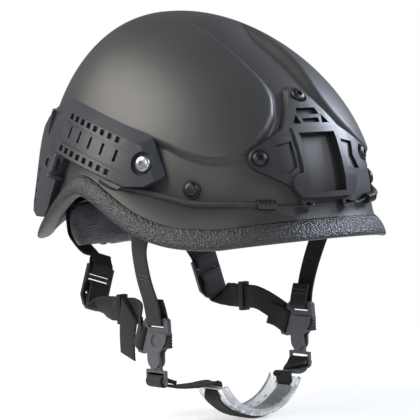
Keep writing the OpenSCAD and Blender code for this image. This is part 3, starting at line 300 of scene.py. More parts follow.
# Matt gritty paint over pressed aramid: dark grey, hardly glossy, with grit about 0.5 mm apart
shell_paint = bpy.data.materials.new("gritty matt paint")
shell_paint.use_nodes = True
tree = shell_paint.node_tree
paint = tree.nodes["Principled BSDF"]
place = add(tree, "ShaderNodeTexCoord")
clouds = add(tree, "ShaderNodeTexNoise", {"Vector": place.outputs["Object"], "Scale": 22, "Detail": 4})
tone = add(tree, "ShaderNodeMix", {0: clouds.outputs["Fac"], 6: linear("2f2f30"), 7: linear("363637")},
           data_type="RGBA")
tree.links.new(tone.outputs[2], paint.inputs["Base Color"])
grit = add(tree, "ShaderNodeTexNoise", {"Vector": place.outputs["Object"], "Scale": 1900, "Detail": 2})
gloss = add(tree, "ShaderNodeMapRange", {"Value": clouds.outputs["Fac"], "To Min": 0.42, "To Max": 0.5})
tree.links.new(gloss.outputs[0], paint.inputs["Roughness"])
bump = add(tree, "ShaderNodeBump", {"Height": grit.outputs["Fac"], "Strength": 0.35, "Distance": 0.0002})
tree.links.new(bump.outputs["Normal"], paint.inputs["Normal"])
paint.inputs["Specular IOR Level"].default_value = 0.5

# The columns lie closer together at the front, where the crease runs up the shell
around, down, down_in = 384, 200, 36
even = np.linspace(-180, 180, around, endpoint=False)
cols = even - 20*np.sin(np.radians(even))


def rows(count):
    """Heights of the grid's points below the crown, one row for each step and one column for each angle."""
    low = rim_z(cols) - waist_z
    return np.stack([bend_q(np.full(around, j/count), low) for j in range(1, count + 1)], 1)


grid_q = rows(down)
grid_a = np.repeat(cols[:, None], down, 1)
# Points near the crease move on to it below crisp_z, so that the edge of the crown is crisp over the brow
crisp_z, degree_w = 118, 2.2
for turn in range(3):
    gap = crown_gap(grid_a, grid_q)
    step_a, step_q = 0.05, 0.05
    slope_a = (crown_gap(grid_a + step_a, grid_q) - crown_gap(grid_a - step_a, grid_q))/(2*step_a)
    slope_q = (crown_gap(grid_a, grid_q + step_q) - crown_gap(grid_a, grid_q - step_q))/(2*step_q)
    steep = np.maximum(slope_a**2/degree_w**2 + slope_q**2, 1e-6)
    near = (np.abs(gap) < (0.75 if turn == 0 else 0.3)) & (skin(grid_a, grid_q)[..., 2] < crisp_z)
    near[:, -3:] = False
    grid_a = grid_a - np.where(near, np.clip(gap*slope_a/degree_w**2/steep, -0.35, 0.35), 0)
    grid_q = grid_q - np.where(near, np.clip(gap*slope_q/steep, -0.8, 0.8), 0)
face_out = outer(grid_a, grid_q).reshape(-1, 3)
face_in = outer(np.repeat(cols[:, None], down_in, 1), rows(down_in), -wall).reshape(-1, 3)
apex = [outer(0, rise).ravel(), outer(0, rise, -wall).ravel()]
points = np.concatenate([face_out, face_in, apex])
k = around*down
faces = []
for i in range(around):
    n = (i + 1) % around
    a, b, c, d = i*down, n*down, k + i*down_in, k + n*down_in
    faces += [(a + j, a + j + 1, b + j + 1, b + j)[::-1] for j in range(down - 1)]
    faces += [(c + j, c + j + 1, d + j + 1, d + j) for j in range(down_in - 1)]
    faces.append((a + down - 1, c + down_in - 1, d + down_in - 1, b + down - 1)[::-1])
    faces.append((len(points) - 2, a, b)[::-1])
    faces.append((len(points) - 1, c, d))
new_piece("shell_pressed", points, faces, shell_paint, "helmet", ["shell"])

# Edge trim
# An extruded channel of soft black rubber, pushed over the cut edge of the shell and glued. Its outside is
# round, 16 mm tall and pebbled like leather, and the pebbles about 1.5 mm wide catch the light one by one.
trim_rubber = bpy.data.materials.new("pebbled rubber")
trim_rubber.use_nodes = True
tree = trim_rubber.node_tree
rubber = tree.nodes["Principled BSDF"]
rubber.inputs["Base Color"].default_value = linear("2b2b2d")
rubber.inputs["Roughness"].default_value = 0.36
place = add(tree, "ShaderNodeTexCoord")
pebbles = add(tree, "ShaderNodeTexVoronoi", {"Vector": place.outputs["Object"], "Scale": 680},
              feature="SMOOTH_F1")
grain = add(tree, "ShaderNodeTexNoise", {"Vector": place.outputs["Object"], "Scale": 900, "Detail": 3})
skin_h = add(tree, "ShaderNodeMath", {0: pebbles.outputs["Distance"], 1: grain.outputs["Fac"]},
             operation="SUBTRACT")
bump = add(tree, "ShaderNodeBump", {"Height": skin_h.outputs[0], "Strength": 0.9, "Distance": 0.0009})
tree.links.new(bump.outputs["Normal"], rubber.inputs["Normal"])

# The channel's section: distance out from the shell and height over its rim, in and out round the wall
lip = 0.3
trim_form = [(lip, trim_leg - 1.5), (lip, 6), (lip, 0), (-wall/2, -0.3), (-wall - lip, 0), (-wall - lip, 6),
             (-wall - lip, trim_leg - 1.5), (-wall - 1.2, trim_leg - 0.4), (-wall - 2.2, trim_leg - 1.2),
             (-wall - 2.9, trim_leg - 3.5), (-wall - 3, 5), (-wall - 3, 1.5), (-wall - 2.3, -1.2),
             (-wall - 0.8, -3), (-wall + 1.8, -4), (-wall/2, -4.2), (-1.8, -4), (0.7, -3), (2.2, -1.3),
             (3, 1), (3.5, 3.5), (3.5, 6), (3, 8.4), (2.2, 10.3), (1.3, 11.4), (0.6, 11.7)]
seg = len(trim_form)
ring = [outer(cols, rim_z(cols) - waist_z + up_rim, out) for out, up_rim in trim_form]
points = np.stack(ring, 1).reshape(-1, 3)
faces = []
for i in range(around):
    a, b = i*seg, (i + 1) % around*seg
    faces += [(a + j, a + (j + 1) % seg, b + (j + 1) % seg, b + j) for j in range(seg)]
new_piece("trim_moulded", points, faces, trim_rubber, "helmet", ["edge_trim"])

# Fittings of moulded nylon and their screws
# The mount, rails, loops and dividers are moulded from glass filled nylon and the buckles from acetal, with
# a fine spark finish. They keep their CAD forms, with their edges rounded as the mould leaves them.


def rounded(node, name, radius, finish, body="helmet", sharp=34):
    """A copy of a CAD node with its edges rounded, that stands for the node."""
    part = bpy.data.objects.new(name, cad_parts[node].data.copy())
    bpy.context.collection.objects.link(part)
    part.data.materials.clear()
    part.data.materials.append(finish)
    bpy.ops.object.select_all(action="DESELECT")
    bpy.context.view_layer.objects.active = part
    part.select_set(True)
    bpy.ops.object.mode_set(mode="EDIT")
    bpy.ops.mesh.select_all(action="SELECT")
    bpy.ops.mesh.remove_doubles(threshold=0.00001)
    bpy.ops.mesh.dissolve_limited(angle_limit=math.radians(1.2))
    bpy.ops.object.mode_set(mode="OBJECT")
    edge = part.modifiers.new("round edges", "BEVEL")
    edge.width = radius/1000
    edge.segments = 2
    edge.limit_method = "ANGLE"
    edge.angle_limit = math.radians(sharp)
    edge.use_clamp_overlap = True
    edge.miter_outer = "MITER_ARC"
    bpy.ops.object.modifier_apply(modifier=edge.name)
    bpy.ops.object.shade_smooth_by_angle(angle=math.radians(32))
    # Flat faces keep flat shading up to their rounded edges
    even_light = part.modifiers.new("even light", "WEIGHTED_NORMAL")
    even_light.keep_sharp = True
    even_light.weight = 100
    bpy.ops.object.modifier_apply(modifier=even_light.name)
    dress(part, body, [node])


def plastic(name, colour, worn, rough):
    """Moulded plastic: a fine grain, and a tone and gloss that vary a little, as from handling."""
    finish = bpy.data.materials.new(name)
    finish.use_nodes = True
    tree = finish.node_tree
    body = tree.nodes["Principled BSDF"]
    place = add(tree, "ShaderNodeTexCoord")
    patches = add(tree, "ShaderNodeTexNoise", {"Vector": place.outputs["Object"], "Scale": 60, "Detail": 4})
    tone = add(tree, "ShaderNodeMix", {0: patches.outputs["Fac"], 6: linear(colour), 7: linear(worn)},
               data_type="RGBA")
    tree.links.new(tone.outputs[2], body.inputs["Base Color"])
    gloss = add(tree, "ShaderNodeMapRange", {"Value": patches.outputs["Fac"], "To Min": rough - 0.05,
                "To Max": rough + 0.05})
    tree.links.new(gloss.outputs[0], body.inputs["Roughness"])
    grain = add(tree, "ShaderNodeTexNoise", {"Vector": place.outputs["Object"], "Scale": 1500, "Detail": 2})
    bump = add(tree, "ShaderNodeBump", {"Height": grain.outputs["Fac"], "Strength": 0.15, "Distance": 0.0002})
    tree.links.new(bump.outputs["Normal"], body.inputs["Normal"])
    return finish


mount_nylon = plastic("glass filled nylon of the mount", "252628", "2c2d30", 0.42)
rail_nylon = plastic("glass filled nylon of the rails", "303338", "3c3f44", 0.33)
divider_nylon = plastic("nylon of the dividers", "46484c", "505257", 0.42)
acetal = plastic("acetal of the buckles", "161718", "1e1f21", 0.32)
rounded("front_mount", "front_mount_moulded", 0.5, mount_nylon)
for side in ("right", "left"):
    rounded(f"rail_{side}", f"rail_moulded_{side}", 0.45, rail_nylon)
    rounded(f"rail_clip_{side}", f"rail_loop_{side}", 0.4, rail_nylon, f"clip_{side}")
    rounded(f"ladder_lock_{side}", f"ladder_lock_moulded_{side}", 0.4, acetal)
    rounded(f"keeper_{side}", f"keeper_moulded_{side}", 0.5, acetal,
            f"strap_keeper_{side}")
    rounded(f"divider_{side}", f"divider_moulded_{side}", 0.5, divider_nylon)
    rounded(f"latch_{side}", f"latch_moulded_{side}", 0.25, acetal, f"press_{side}")
    rounded(f"link_{side}", f"link_moulded_{side}", 0.35, divider_nylon, "chin_loop")
    rounded(f"ferrule_{side}", f"ferrule_moulded_{side}", 0.3, acetal)

# Screws and nuts: turned steel, blackened or bright from its zinc plating, with faint marks of the tool
steel_black = bpy.data.materials.new("blackened steel")
steel_bright = bpy.data.materials.new("zinc plated steel")
for metal, colour, rough in ((steel_black, "3a3a3c", 0.38), (steel_bright, "b9babd", 0.3)):
    metal.use_nodes = True
    tree = metal.node_tree
    body = tree.nodes["Principled BSDF"]
    body.inputs["Base Color"].default_value = linear(colour)
    body.inputs["Metallic"].default_value = 0.9
    place = add(tree, "ShaderNodeTexCoord")
    marks = add(tree, "ShaderNodeTexNoise", {"Vector": place.outputs["Object"], "Scale": 700, "Detail": 5})
    gloss = add(tree, "ShaderNodeMapRange", {"Value": marks.outputs["Fac"], "To Min": rough - 0.08,
                "To Max": rough + 0.12})
    tree.links.new(gloss.outputs[0], body.inputs["Roughness"])
    bump = add(tree, "ShaderNodeBump", {"Height": marks.outputs["Fac"], "Strength": 0.1,
               "Distance": 0.0001})
    tree.links.new(bump.outputs["Normal"], body.inputs["Normal"])
rounded("mount_screws", "mount_screws_turned", 0.2, steel_black, sharp=40)
rounded("harness_bolts", "harness_bolts_turned", 0.2, steel_black, sharp=40)
for node in ("mount_nuts", "harness_nuts"):
    rounded(node, f"{node}_turned", 0.2, steel_black, sharp=40)
for side in ("right", "left"):
    rounded(f"rail_screws_{side}", f"rail_screws_turned_{side}", 0.2, steel_bright, sharp=40)
    rounded(f"rail_nuts_{side}", f"rail_nuts_turned_{side}", 0.2, steel_black, sharp=40)

# Cords and wire hooks
# Shock cord of rubber strands in a braided polyester cover, 4.6 mm thick, runs from each rail to a ferrule
# crimped on a wire hook in the front mount. A thinner cord is laced along the rear edge of each rail's arm.


def smooth(points, steps):
    """Points on a smooth curve through the points of a route."""
    p = np.asarray(points, float)
    p = np.concatenate([p[:1], p, p[-1:]])
    t = np.arange(steps)[:, None]/steps
    out = [0.5*((2*b) + (c - a)*t + (2*a - 5*b + 4*c - d)*t**2 + (3*b - a - 3*c + d)*t**3)
           for a, b, c, d in zip(p[:-3], p[1:-2], p[2:-1], p[3:])]
    return np.concatenate(out + [p[-1:]])


def carried(path):
    """Directions along a path, and directions across it that turn as little as they can."""
    along = np.gradient(path, axis=0)
    along /= np.linalg.norm(along, axis=1, keepdims=True)
    side = np.cross(along[0], (0, 0, 1.0) if abs(along[0][2]) < 0.8 else (0, 1.0, 0))
    across = []
    for t in along:
        side = side - t*(side@t)
        side = side/np.linalg.norm(side)
        across.append(side)
    return along, np.array(across)


def cord_mesh(path, width, sides=16):
    """Points, faces and cloth coordinates of a round cord with domed ends."""
    along, across = carried(path)
    third = np.cross(along, across)
    way = np.concatenate([[0], np.cumsum(np.linalg.norm(np.diff(path, axis=0), axis=1))])
    turn = np.linspace(0, 2*np.pi, sides, endpoint=False)
    ring = across[:, None]*np.cos(turn)[None, :, None] + third[:, None]*np.sin(turn)[None, :, None]
    points = (path[:, None] + width/2*ring).reshape(-1, 3)
    uv = np.stack(np.broadcast_arrays(turn[None]/(2*np.pi), way[:, None]), -1).reshape(-1, 2)
    n = len(path)
    faces = []
    for i in range(n - 1):
        a, b = i*sides, (i + 1)*sides
        faces += [(a + j, b + j, b + (j + 1) % sides, a + (j + 1) % sides)[::-1] for j in range(sides)]
    points = np.concatenate([points, [path[0] - along[0]*width*0.2, path[-1] + along[-1]*width*0.2]])
    uv = np.concatenate([uv, [[0, 0], [0, way[-1]]]])
    faces += [(n*sides, j, (j + 1) % sides)[::-1] for j in range(sides)]
    faces += [(n*sides + 1, (n - 1)*sides + (j + 1) % sides, (n - 1)*sides + j)[::-1] for j in range(sides)]
    return points, faces, uv


def braid(name, colour, pale, count, pitch):
    """A dull braid: two sets of strands that cross, count round the cord and pitch millimetres along, painted
    pale where the strands stand high as a painted highlight.
    """
    finish = bpy.data.materials.new(name)
    finish.use_nodes = True
    tree = finish.node_tree
    body = tree.nodes["Principled BSDF"]
    place = add(tree, "ShaderNodeUVMap", uv_map="cloth")
    axes = add(tree, "ShaderNodeSeparateXYZ", {0: place.outputs[0]})
    turns = add(tree, "ShaderNodeMath", {0: axes.outputs["X"], 1: 2*math.pi*count}, operation="MULTIPLY")
    steps = add(tree, "ShaderNodeMath", {0: axes.outputs["Y"], 1: 2*math.pi/pitch}, operation="MULTIPLY")
    one = add(tree, "ShaderNodeMath", {0: turns.outputs[0], 1: steps.outputs[0]}, operation="ADD")
    two = add(tree, "ShaderNodeMath", {0: turns.outputs[0], 1: steps.outputs[0]}, operation="SUBTRACT")
    waves = [add(tree, "ShaderNodeMath", {0: w.outputs[0]}, operation="SINE") for w in (one, two)]
    weave = add(tree, "ShaderNodeMath", {0: waves[0].outputs[0], 1: waves[1].outputs[0]},
                operation="MULTIPLY")
    high = add(tree, "ShaderNodeMapRange", {"Value": weave.outputs[0], "From Min": -1})
    # Painted highlight: the strands are painted pale where they stand high, at their raised crossings
    tone = add(tree, "ShaderNodeMix", {0: high.outputs[0], 6: linear(colour), 7: linear(pale)},
               data_type="RGBA")
    tree.links.new(tone.outputs[2], body.inputs["Base Color"])
    body.inputs["Roughness"].default_value = 0.6
    body.inputs["Sheen Weight"].default_value = 0.05
    bump = add(tree, "ShaderNodeBump", {"Height": high.outputs[0], "Strength": 0.6, "Distance": 0.0004})
    tree.links.new(bump.outputs["Normal"], body.inputs["Normal"])
    return finish


def unit(v):
    """The direction of a vector, one long."""
    return np.asarray(v, float)/np.linalg.norm(v)


def mirrored(points):
    """Points of the right side, put on the left side."""
    return np.asarray(points)*np.array([-1, 1, 1])


cord_cover = braid("braided polyester", "0b0a0a", "2b2927", 3, 3.2)
bungee_d, edge_d, wire_d, ferrule_d = 4.6, 4.2, 1.8, 8
lay, ferrule_off = bungee_d/2 + 0.7, ferrule_d/2 + 0.8
cord_spots = [(-78, 23.8), (-75.5, 22), (-73, 20.8), (-68.5, 19.7), (-64, 18.6), (-59, 17), (-54, 14.6),
              (-49, 11.7), (-45, 9.2), (-41.5, 7.3), (-37, 6.2), (-31, 5.5), (-27.5, 5.1)]
ferrule_a = outer(-21.8, 4.4, ferrule_off)
ferrule_v = unit(outer(-16.2, 3.6, ferrule_off) - ferrule_a)
cord_way = [outer(a, q, lay) for a, q in cord_spots]
cord_way += [outer(-23.5, 4.6, ferrule_off), ferrule_a + ferrule_v, ferrule_a + 8*ferrule_v]
edge_spots = [(-126.2, 98.6), (-132, 91), (-137, 81.5), (-140.6, 71), (-142.2, 60.5), (-143.1, 51),
              (-143.6, 41), (-143.2, 30), (-142.3, 21)]
edge_way = [outer(a, z - waist_z, bungee_d/2 + 0.1) for a, z in edge_spots]
hook_way = [ferrule_a + 10*ferrule_v, ferrule_a + 14*ferrule_v, ferrule_a + 17*ferrule_v,
            (-24.6, -151.5, 25.4), (-21, -153.2, 25.9), (-19.1, -152.4, 26.3), (-19, -150, 26.4),
            (-19, -148, 26.4)]
for side in ("right", "left"):
    turned = mirrored if side == "left" else np.asarray
    for node, route, width, finish, slot in (
            ("bungee", cord_way, bungee_d, cord_cover, "cord_black"),
            ("rail_cord", edge_way, edge_d, cord_cover, "cord_black"),
            ("hook", hook_way, wire_d, steel_black, "wire")):
        points, faces, uv = cord_mesh(smooth(turned(route), 6), width)
        new_piece(f"{node}_round_{side}", points, faces, finish, "helmet", [f"{node}_{side}"], uv)

# Webbing
# Nylon webbing 19 mm wide, woven flat with a fine cross rib. The harness straps are held under the nuts in
# the shell, and folded and sewn at their ends. Each strap follows the same stations as its solid.
web_w, web_t = 19, 1.8
web_x = np.array([1, 0.985, 0.94, 0.82, 0.55, 0.2, -0.2, -0.55, -0.82, -0.94, -0.985, -1])*web_w/2
web_h = np.array([0.3, 0.66, 0.92, 1, 0.97, 1, 1, 0.97, 1, 0.92, 0.66, 0.3])*web_t/2


def band_mesh(stations):
    """Points, faces and cloth coordinates of webbing through stations of a centre and a direction across."""
    steps = 8
    path = smooth([s[0] for s in stations], steps)
    over = smooth([s[1] for s in stations], steps)
    along = np.gradient(path, axis=0)
    along /= np.linalg.norm(along, axis=1, keepdims=True)
    over = over - along*np.sum(over*along, axis=1, keepdims=True)
    over /= np.linalg.norm(over, axis=1, keepdims=True)
    up = np.cross(along, over)
    way = np.concatenate([[0], np.cumsum(np.linalg.norm(np.diff(path, axis=0), axis=1))])
    xs = np.concatenate([web_x, web_x[::-1]])
    hs = np.concatenate([web_h, -web_h[::-1]])
    ring = path[:, None] + over[:, None]*xs[None, :, None] + up[:, None]*hs[None, :, None]
    n, k = len(path), len(xs)
    uv = np.stack(np.broadcast_arrays(xs[None], way[:, None]), -1).reshape(-1, 2)
    faces = []
    for i in range(n - 1):
        a, b = i*k, (i + 1)*k
        faces += [(a + j, b + j, b + (j + 1) % k, a + (j + 1) % k) for j in range(k)]
    for row, flip in ((0, 1), ((n - 1)*k, -1)):
        faces += [(row + j, row + j + 1, row + k - 2 - j, row + k - 1 - j)[::flip] for j in range(k//2 - 1)]
    return ring.reshape(-1, 3), faces, uv


# Woven nylon: nearly black and dull, with ribs that show as fine lines across the strap, their tops painted
# paler as a painted highlight
web_cloth = bpy.data.materials.new("woven nylon webbing")
web_cloth.use_nodes = True
tree = web_cloth.node_tree
cloth = tree.nodes["Principled BSDF"]
place = add(tree, "ShaderNodeUVMap", uv_map="cloth")
axes = add(tree, "ShaderNodeSeparateXYZ", {0: place.outputs[0]})
# The ribs lie 1.6 mm apart and the warp ends 1.2 mm, both drawn twice as coarse as woven, so that they show
ribs = add(tree, "ShaderNodeMath", {0: axes.outputs["Y"], 1: 2*math.pi/1.6}, operation="MULTIPLY")
ends = add(tree, "ShaderNodeMath", {0: axes.outputs["X"], 1: 2*math.pi/1.2}, operation="MULTIPLY")
rib = add(tree, "ShaderNodeMath", {0: ribs.outputs[0]}, operation="SINE")
end = add(tree, "ShaderNodeMath", {0: ends.outputs[0]}, operation="SINE")
weave = add(tree, "ShaderNodeMath", {0: rib.outputs[0], 1: end.outputs[0]}, operation="MULTIPLY")
weave = add(tree, "ShaderNodeMath", {0: weave.outputs[0], 1: rib.outputs[0]}, operation="ADD")
high = add(tree, "ShaderNodeMapRange", {"Value": weave.outputs[0], "From Min": -2, "From Max": 2})
# Painted highlight: the weave is painted paler where it stands high, on the tops of the ribs and warp ends
tone = add(tree, "ShaderNodeMix", {0: high.outputs[0], 6: linear("080809"), 7: linear("1a1a1c")},
           data_type="RGBA")
tree.links.new(tone.outputs[2], cloth.inputs["Base Color"])
cloth.inputs["Roughness"].default_value = 0.78
cloth.inputs["Sheen Weight"].default_value = 0.05
cloth.inputs["Sheen Roughness"].default_value = 0.5
bump = add(tree, "ShaderNodeBump", {"Height": high.outputs[0], "Strength": 0.5, "Distance": 0.0004})
tree.links.new(bump.outputs["Normal"], cloth.inputs["Normal"])

gap, bar_half = 0.35, 1.75
strap_off = -wall - gap - web_t/2 - 0.6
bar_gap = gap + web_t/2
div_spot = np.array([-72.0, -22, -92])
lock_spot, lock_tilt = np.array([-57.0, 76, -42]), math.radians(18)


def lining(a, z, off=strap_off):
    """A point on the inside of the shell, at a plan angle and a height."""
    return outer(a, z - waist_z, off)


def flat(a, z, b, y, off=strap_off):
    """A station that lies flat on the lining, with the path leading on to the next spot."""
    p = lining(a, z, off)
    return p, unit(np.cross(facing(np.array(float(a)), np.array(z - waist_z, float)), lining(b, y, off) - p))


def lock_pt(x, y, z):
    """A point given across, through and along the ladder lock."""
    c, s = math.cos(lock_tilt), math.sin(lock_tilt)
    return lock_spot + np.array([x*c + z*s, y, z*c - x*s])


lock_w = lock_pt(1, 0, 0) - lock_pt(0, 0, 0)


def round_bar(c, out, w):
    """Stations of a turn round a bar, with the direction out of the turn and the direction across."""
    x, out = np.array([1.0, 0, 0]), np.array(out, float)
    near, far, deep = bar_half + 0.1, bar_half + bar_gap + 0.1, bar_gap + 0.2
    return [(c - x*far + 3*out, w), (c - x*far + 0.3*out, w), (c - x*near - deep*out, w),
            (c + x*near - deep*out, w), (c + x*far + 0.3*out, w), (c + x*far + 3*out, w)]


# Each strap's stations follow it from the shell to its loose end, on the right side
front_run = [flat(-35.5, 46, -40.7, 40), flat(-40.7, 40, -47, 33), flat(-47, 33, -54, 27),
             flat(-54, 27, -61, 21, -13.2), ((-93, -42, 14), (0.25, -0.8, -0.5)),
             ((-91, -31, -4), (0, -0.95, -0.25)), ((-84, -25.6, -28), (-0.05, -1, 0)),
             ((-77.5, -25, -48), (0, -1, 0))]
front_run += round_bar(div_spot + (0, -3, 28), (0, 0, 1), (0, -1, 0))
front_run += [(div_spot + (1, -3, 40), (0, -1, 0)), (div_spot + (-1, -3, 46), (0, -1, 0))]
rear_run = [(p, -w) for p, w in (flat(-149.6, 55, -150, 45), flat(-150, 45, -150.3, 33),
                                 flat(-150.3, 33, -150.4, 21), flat(-150.4, 20, -150.4, 10, -12.8))]
rear_run += [((-57, 104.5, 1), (0.92, 0.4, 0)), ((-55, 98, -8), (0.97, 0.22, -0.1)),
             ((-52.6, 89.5, -15.6), (0.98, 0.05, -0.2))]
rear_turns = [(6.2, 23.5), (3.4, 17.5), (3.1, 13), (2, 9.4), (-2, 9.4), (-3.1, 13), (-3, 17), (0.6, 21.5),
              (3.4, 26)]
rear_run += [(lock_pt(0, y, z), lock_w) for y, z in rear_turns]
run_x, run_z, layer = -60.4, -58, web_t + 0.5
slot_n, slot_w = np.array([0, 0.92, 0.39]), np.array([0, 0.39, -0.92])
slot_c = div_spot + (0, 13, 14.5)
down_w = (0, 0, -1)
lock_turns = [(-5.6, -19), (-4, -14), (-3.1, -9.3), (-2.3, -6.6), (0, -5.8), (2.3, -5.3), (3.2, -3),
              (3.2, 0), (2.2, 2.1), (0, 2.5), (-2.5, 2.2), (-4.6, 0), (-5.5, -4), (-6.2, -14), (-8, -19)]
lower_run = [((run_x - layer, 42, run_z), down_w), ((run_x - layer, 47, run_z), down_w),
             ((run_x - layer, 52, run_z + 0.2), (0.2, 0, -1)), ((-62.9, 63, -58.6), (0.6, 0.1, -0.8))]
lower_run += [(lock_pt(0, y, z), lock_w) for y, z in lock_turns]
lower_run += [((-61, 62.4, -57.2), (0.6, 0.1, -0.8)), ((run_x, 52, run_z + 0.2), (0.2, 0, -1))]
lower_run += [((run_x, y, run_z), down_w) for y in (47, 40, 28, 19)]
lower_run += [((-63, 9, -61.5), (0, 0.25, -1)), ((-73, -1, -71.5), slot_w)]
lower_run += round_bar(slot_c + 1.9*slot_n, slot_n, slot_w)
lower_run += [(slot_c + (3.4, 0, 0) + 12*slot_n, slot_w), (slot_c + (6.8, 0, 0) + 18*slot_n, slot_w)]


def loose_end(hangs):
    """The lower strap's end past its keeper: a flat run and, if it hangs, a slanted fold and a tail."""
    start_y, fold_y, tail_low, cut_slant = 44, 30, -36, 6
    thick = np.array([0.3, 0.9, 1, 1, 1, 1, 0.9, 0.3])*web_t/2
    b = np.array([9.5, 8.9, 7, 2.4, -2.4, -7, -8.9, -9.5])
    count = len(b)
    fold = fold_y - web_w/2 + b
    rings = []
    for k in range(9):
        y = start_y + (fold - start_y)*k/8
        rings.append((run_x - layer, y, run_z + b, b, start_y - y))
    for turn in (45, 90, 135) if hangs else ():
        t = math.radians(turn)
        rings.append((run_x - layer - 1.3*(1 - math.cos(t)), fold - 0.9*math.sin(t), run_z + b, b,
                      24 - b + turn/45))
    for s in np.linspace(0, 1, 13) if hangs else ():
        low = tail_low + b/web_w*cut_slant
        sway = 1.5*math.sin(3*s) + 2*s*s
        rings.append((run_x - 2*layer - 0.2 - sway, fold + 1.2*math.sin(2.2*s), run_z + b + (low - b)*s, b,
                      28 + 30*s))
    points, uv, faces = [], [], []
    for ring in rings:
        x, y, z, u, v = np.broadcast_arrays(*ring)
        for sign in (1, -1):
            points += [(x[i] + sign*thick[i], y[i], z[i]) for i in range(count)[::sign]]
            uv += [(u[i], v[i]) for i in range(count)[::sign]]
    n = 2*count
    for i in range(len(rings) - 1):
        faces += [(i*n + j, (i + 1)*n + j, (i + 1)*n + (j + 1) % n, i*n + (j + 1) % n) for j in range(n)]
    for row, flip in ((0, 1), ((len(rings) - 1)*n, -1)):
        faces += [(row + j, row + j + 1, row + n - 2 - j, row + n - 1 - j)[::flip] for j in range(count - 1)]
    return points, faces, uv


for side in ("right", "left"):
    for node, run in (("front_strap", front_run), ("rear_strap", rear_run), ("lower_strap", lower_run)):
        points, faces, uv = band_mesh(run)
        if node == "lower_strap":
            tail = loose_end(side == "right")
            faces = faces + [tuple(len(points) + i for i in f) for f in tail[1]]
            points, uv = np.concatenate([points, tail[0]]), np.concatenate([uv, tail[2]])
        if side == "left":
            points, faces = mirrored(points), [f[::-1] for f in faces]
        new_piece(f"{node}_woven_{side}", points, faces, web_cloth, "helmet", [f"{node}_{side}"],
                  uv)

# Stitches
# Two rows of bonded polyester thread hold each sewn layer of webbing, in seven stitches each. A stitch is a
# short arch of thread 0.6 mm thick, a little paler and glossier than the webbing.
thread = bpy.data.materials.new("bonded polyester thread")
thread.use_nodes = True
twist = thread.node_tree.nodes["Principled BSDF"]
twist.inputs["Base Color"].default_value = linear("4a4b4d")
twist.inputs["Roughness"].default_value = 0.5
stitch = ((-0.95, -0.2), (-0.6, 0.12), (0, 0.2), (0.6, 0.12), (0.95, -0.2))
stitch_pitch, stitch_d, row_off = 2.3, 0.6, 1.7


def sew(name, run, k):
    """Two rows of stitches across a run of webbing at its station k, on both sides of the helmet."""
    along = unit(np.array(run[k + 1][0], float) - run[k - 1][0])
    out = unit(np.cross(along, run[k][1]))
    over = np.cross(out, along)
    points, faces = [], []
    for row in (-row_off, row_off):
        for i in range(7):
            c = run[k][0] + out*web_t/2 + along*row + over*(stitch_pitch*(i - 3))
            p, f, uv = cord_mesh(np.array([c + over*x + out*h for x, h in stitch]), stitch_d, 6)
            faces += [tuple(len(points) + j for j in g) for g in f]
            points += p.tolist()
    new_piece(f"{name}_right", np.array(points), faces, thread, "helmet")
    new_piece(f"{name}_left", mirrored(points), [f[::-1] for f in faces], thread, "helmet")


sew("front_strap_seam_outer", front_run, 6)
sew("front_strap_seam_inner", front_run, -2)
sew("rear_strap_seam_front", rear_run, -3)
sew("rear_strap_seam_back", rear_run, 8)

# Chin strap and cup
# The chin strap runs from one link to the other through two slots of a clear moulded cup, and is sewn back on
# itself at both ends.
cup_r, cup_spot = 44.5, np.array([0, -45, -96.5])
strap_r = cup_r + gap + web_t/2 + 0.25


def cup_pt(a, r):
    """A point on a circle round the cup's axis, at an angle from its lowest point."""
    return cup_spot + np.array([r*math.sin(math.radians(a)), 0, -r*math.cos(math.radians(a))])


bar = div_spot + (0, 0, -17.2)
turn_r = 1.8 + bar_gap + 0.5
chin_run = [bar + (13, -7.5, -2.4), bar + (6.5, -2.2, 0.3), bar + (1.6, 0, turn_r),
            bar + (-2.4, 0, turn_r - 1), bar + (-turn_r, 0, -0.6), bar + (-1.2, 0, -turn_r - 0.2),
            bar + (5, -1, -3.9), bar + (13, -8.5, -4.9), (-49, -37.5, -113.8), cup_pt(-66, cup_r - 5.6),
            cup_pt(-59.5, cup_r - 3.2), cup_pt(-52, strap_r + 0.2), cup_pt(-40, strap_r),
            cup_pt(-27, strap_r), cup_pt(-13, strap_r)]
chin_run = [np.array(p, float) for p in chin_run]
chin_run += [cup_pt(0, strap_r)] + [mirrored(p) for p in chin_run[::-1]]
points, faces, uv = band_mesh([(p, (0, 1, 0)) for p in chin_run])
new_piece("chin_strap_woven", points, faces, web_cloth, "chin_loop", ["chin_strap"], uv)

# Moulded clear polyurethane: glossy and see-through, and a little milky
cup_plastic = bpy.data.materials.new("clear soft polyurethane")
cup_plastic.use_nodes = True
cup = cup_plastic.node_tree.nodes["Principled BSDF"]
cup.inputs["Base Color"].default_value = linear("eef0f2")
cup.inputs["Roughness"].default_value = 0.12
cup.inputs["IOR"].default_value = 1.48
cup.inputs["Transmission Weight"].default_value = 0.8
rounded("chin_cup", "chin_cup_moulded", 0.4, cup_plastic, "chin_loop")

# Pads
# Comfort pads of slow foam in brushed nylon covers, held to the shell by discs of hook tape, and a padded
# flap of soft grained leather at the nape. They are inflated a little as cloth, as a filled cover swells.

# Brushed nylon knit: dull and dark, with a raised nap that catches light at its edges
pad_cloth = bpy.data.materials.new("brushed nylon")
pad_cloth.use_nodes = True
tree = pad_cloth.node_tree
cover = tree.nodes["Principled BSDF"]
place = add(tree, "ShaderNodeTexCoord")
fuzz = add(tree, "ShaderNodeTexNoise", {"Vector": place.outputs["Object"], "Scale": 900, "Detail": 4})
tone = add(tree, "ShaderNodeMix", {0: fuzz.outputs["Fac"], 6: linear("1a1a1b"), 7: linear("2b2b2d")},
           data_type="RGBA")
tree.links.new(tone.outputs[2], cover.inputs["Base Color"])
cover.inputs["Roughness"].default_value = 0.9
cover.inputs["Sheen Weight"].default_value = 0.3
bump = add(tree, "ShaderNodeBump", {"Height": fuzz.outputs["Fac"], "Strength": 0.5, "Distance": 0.0005})
tree.links.new(bump.outputs["Normal"], cover.inputs["Normal"])
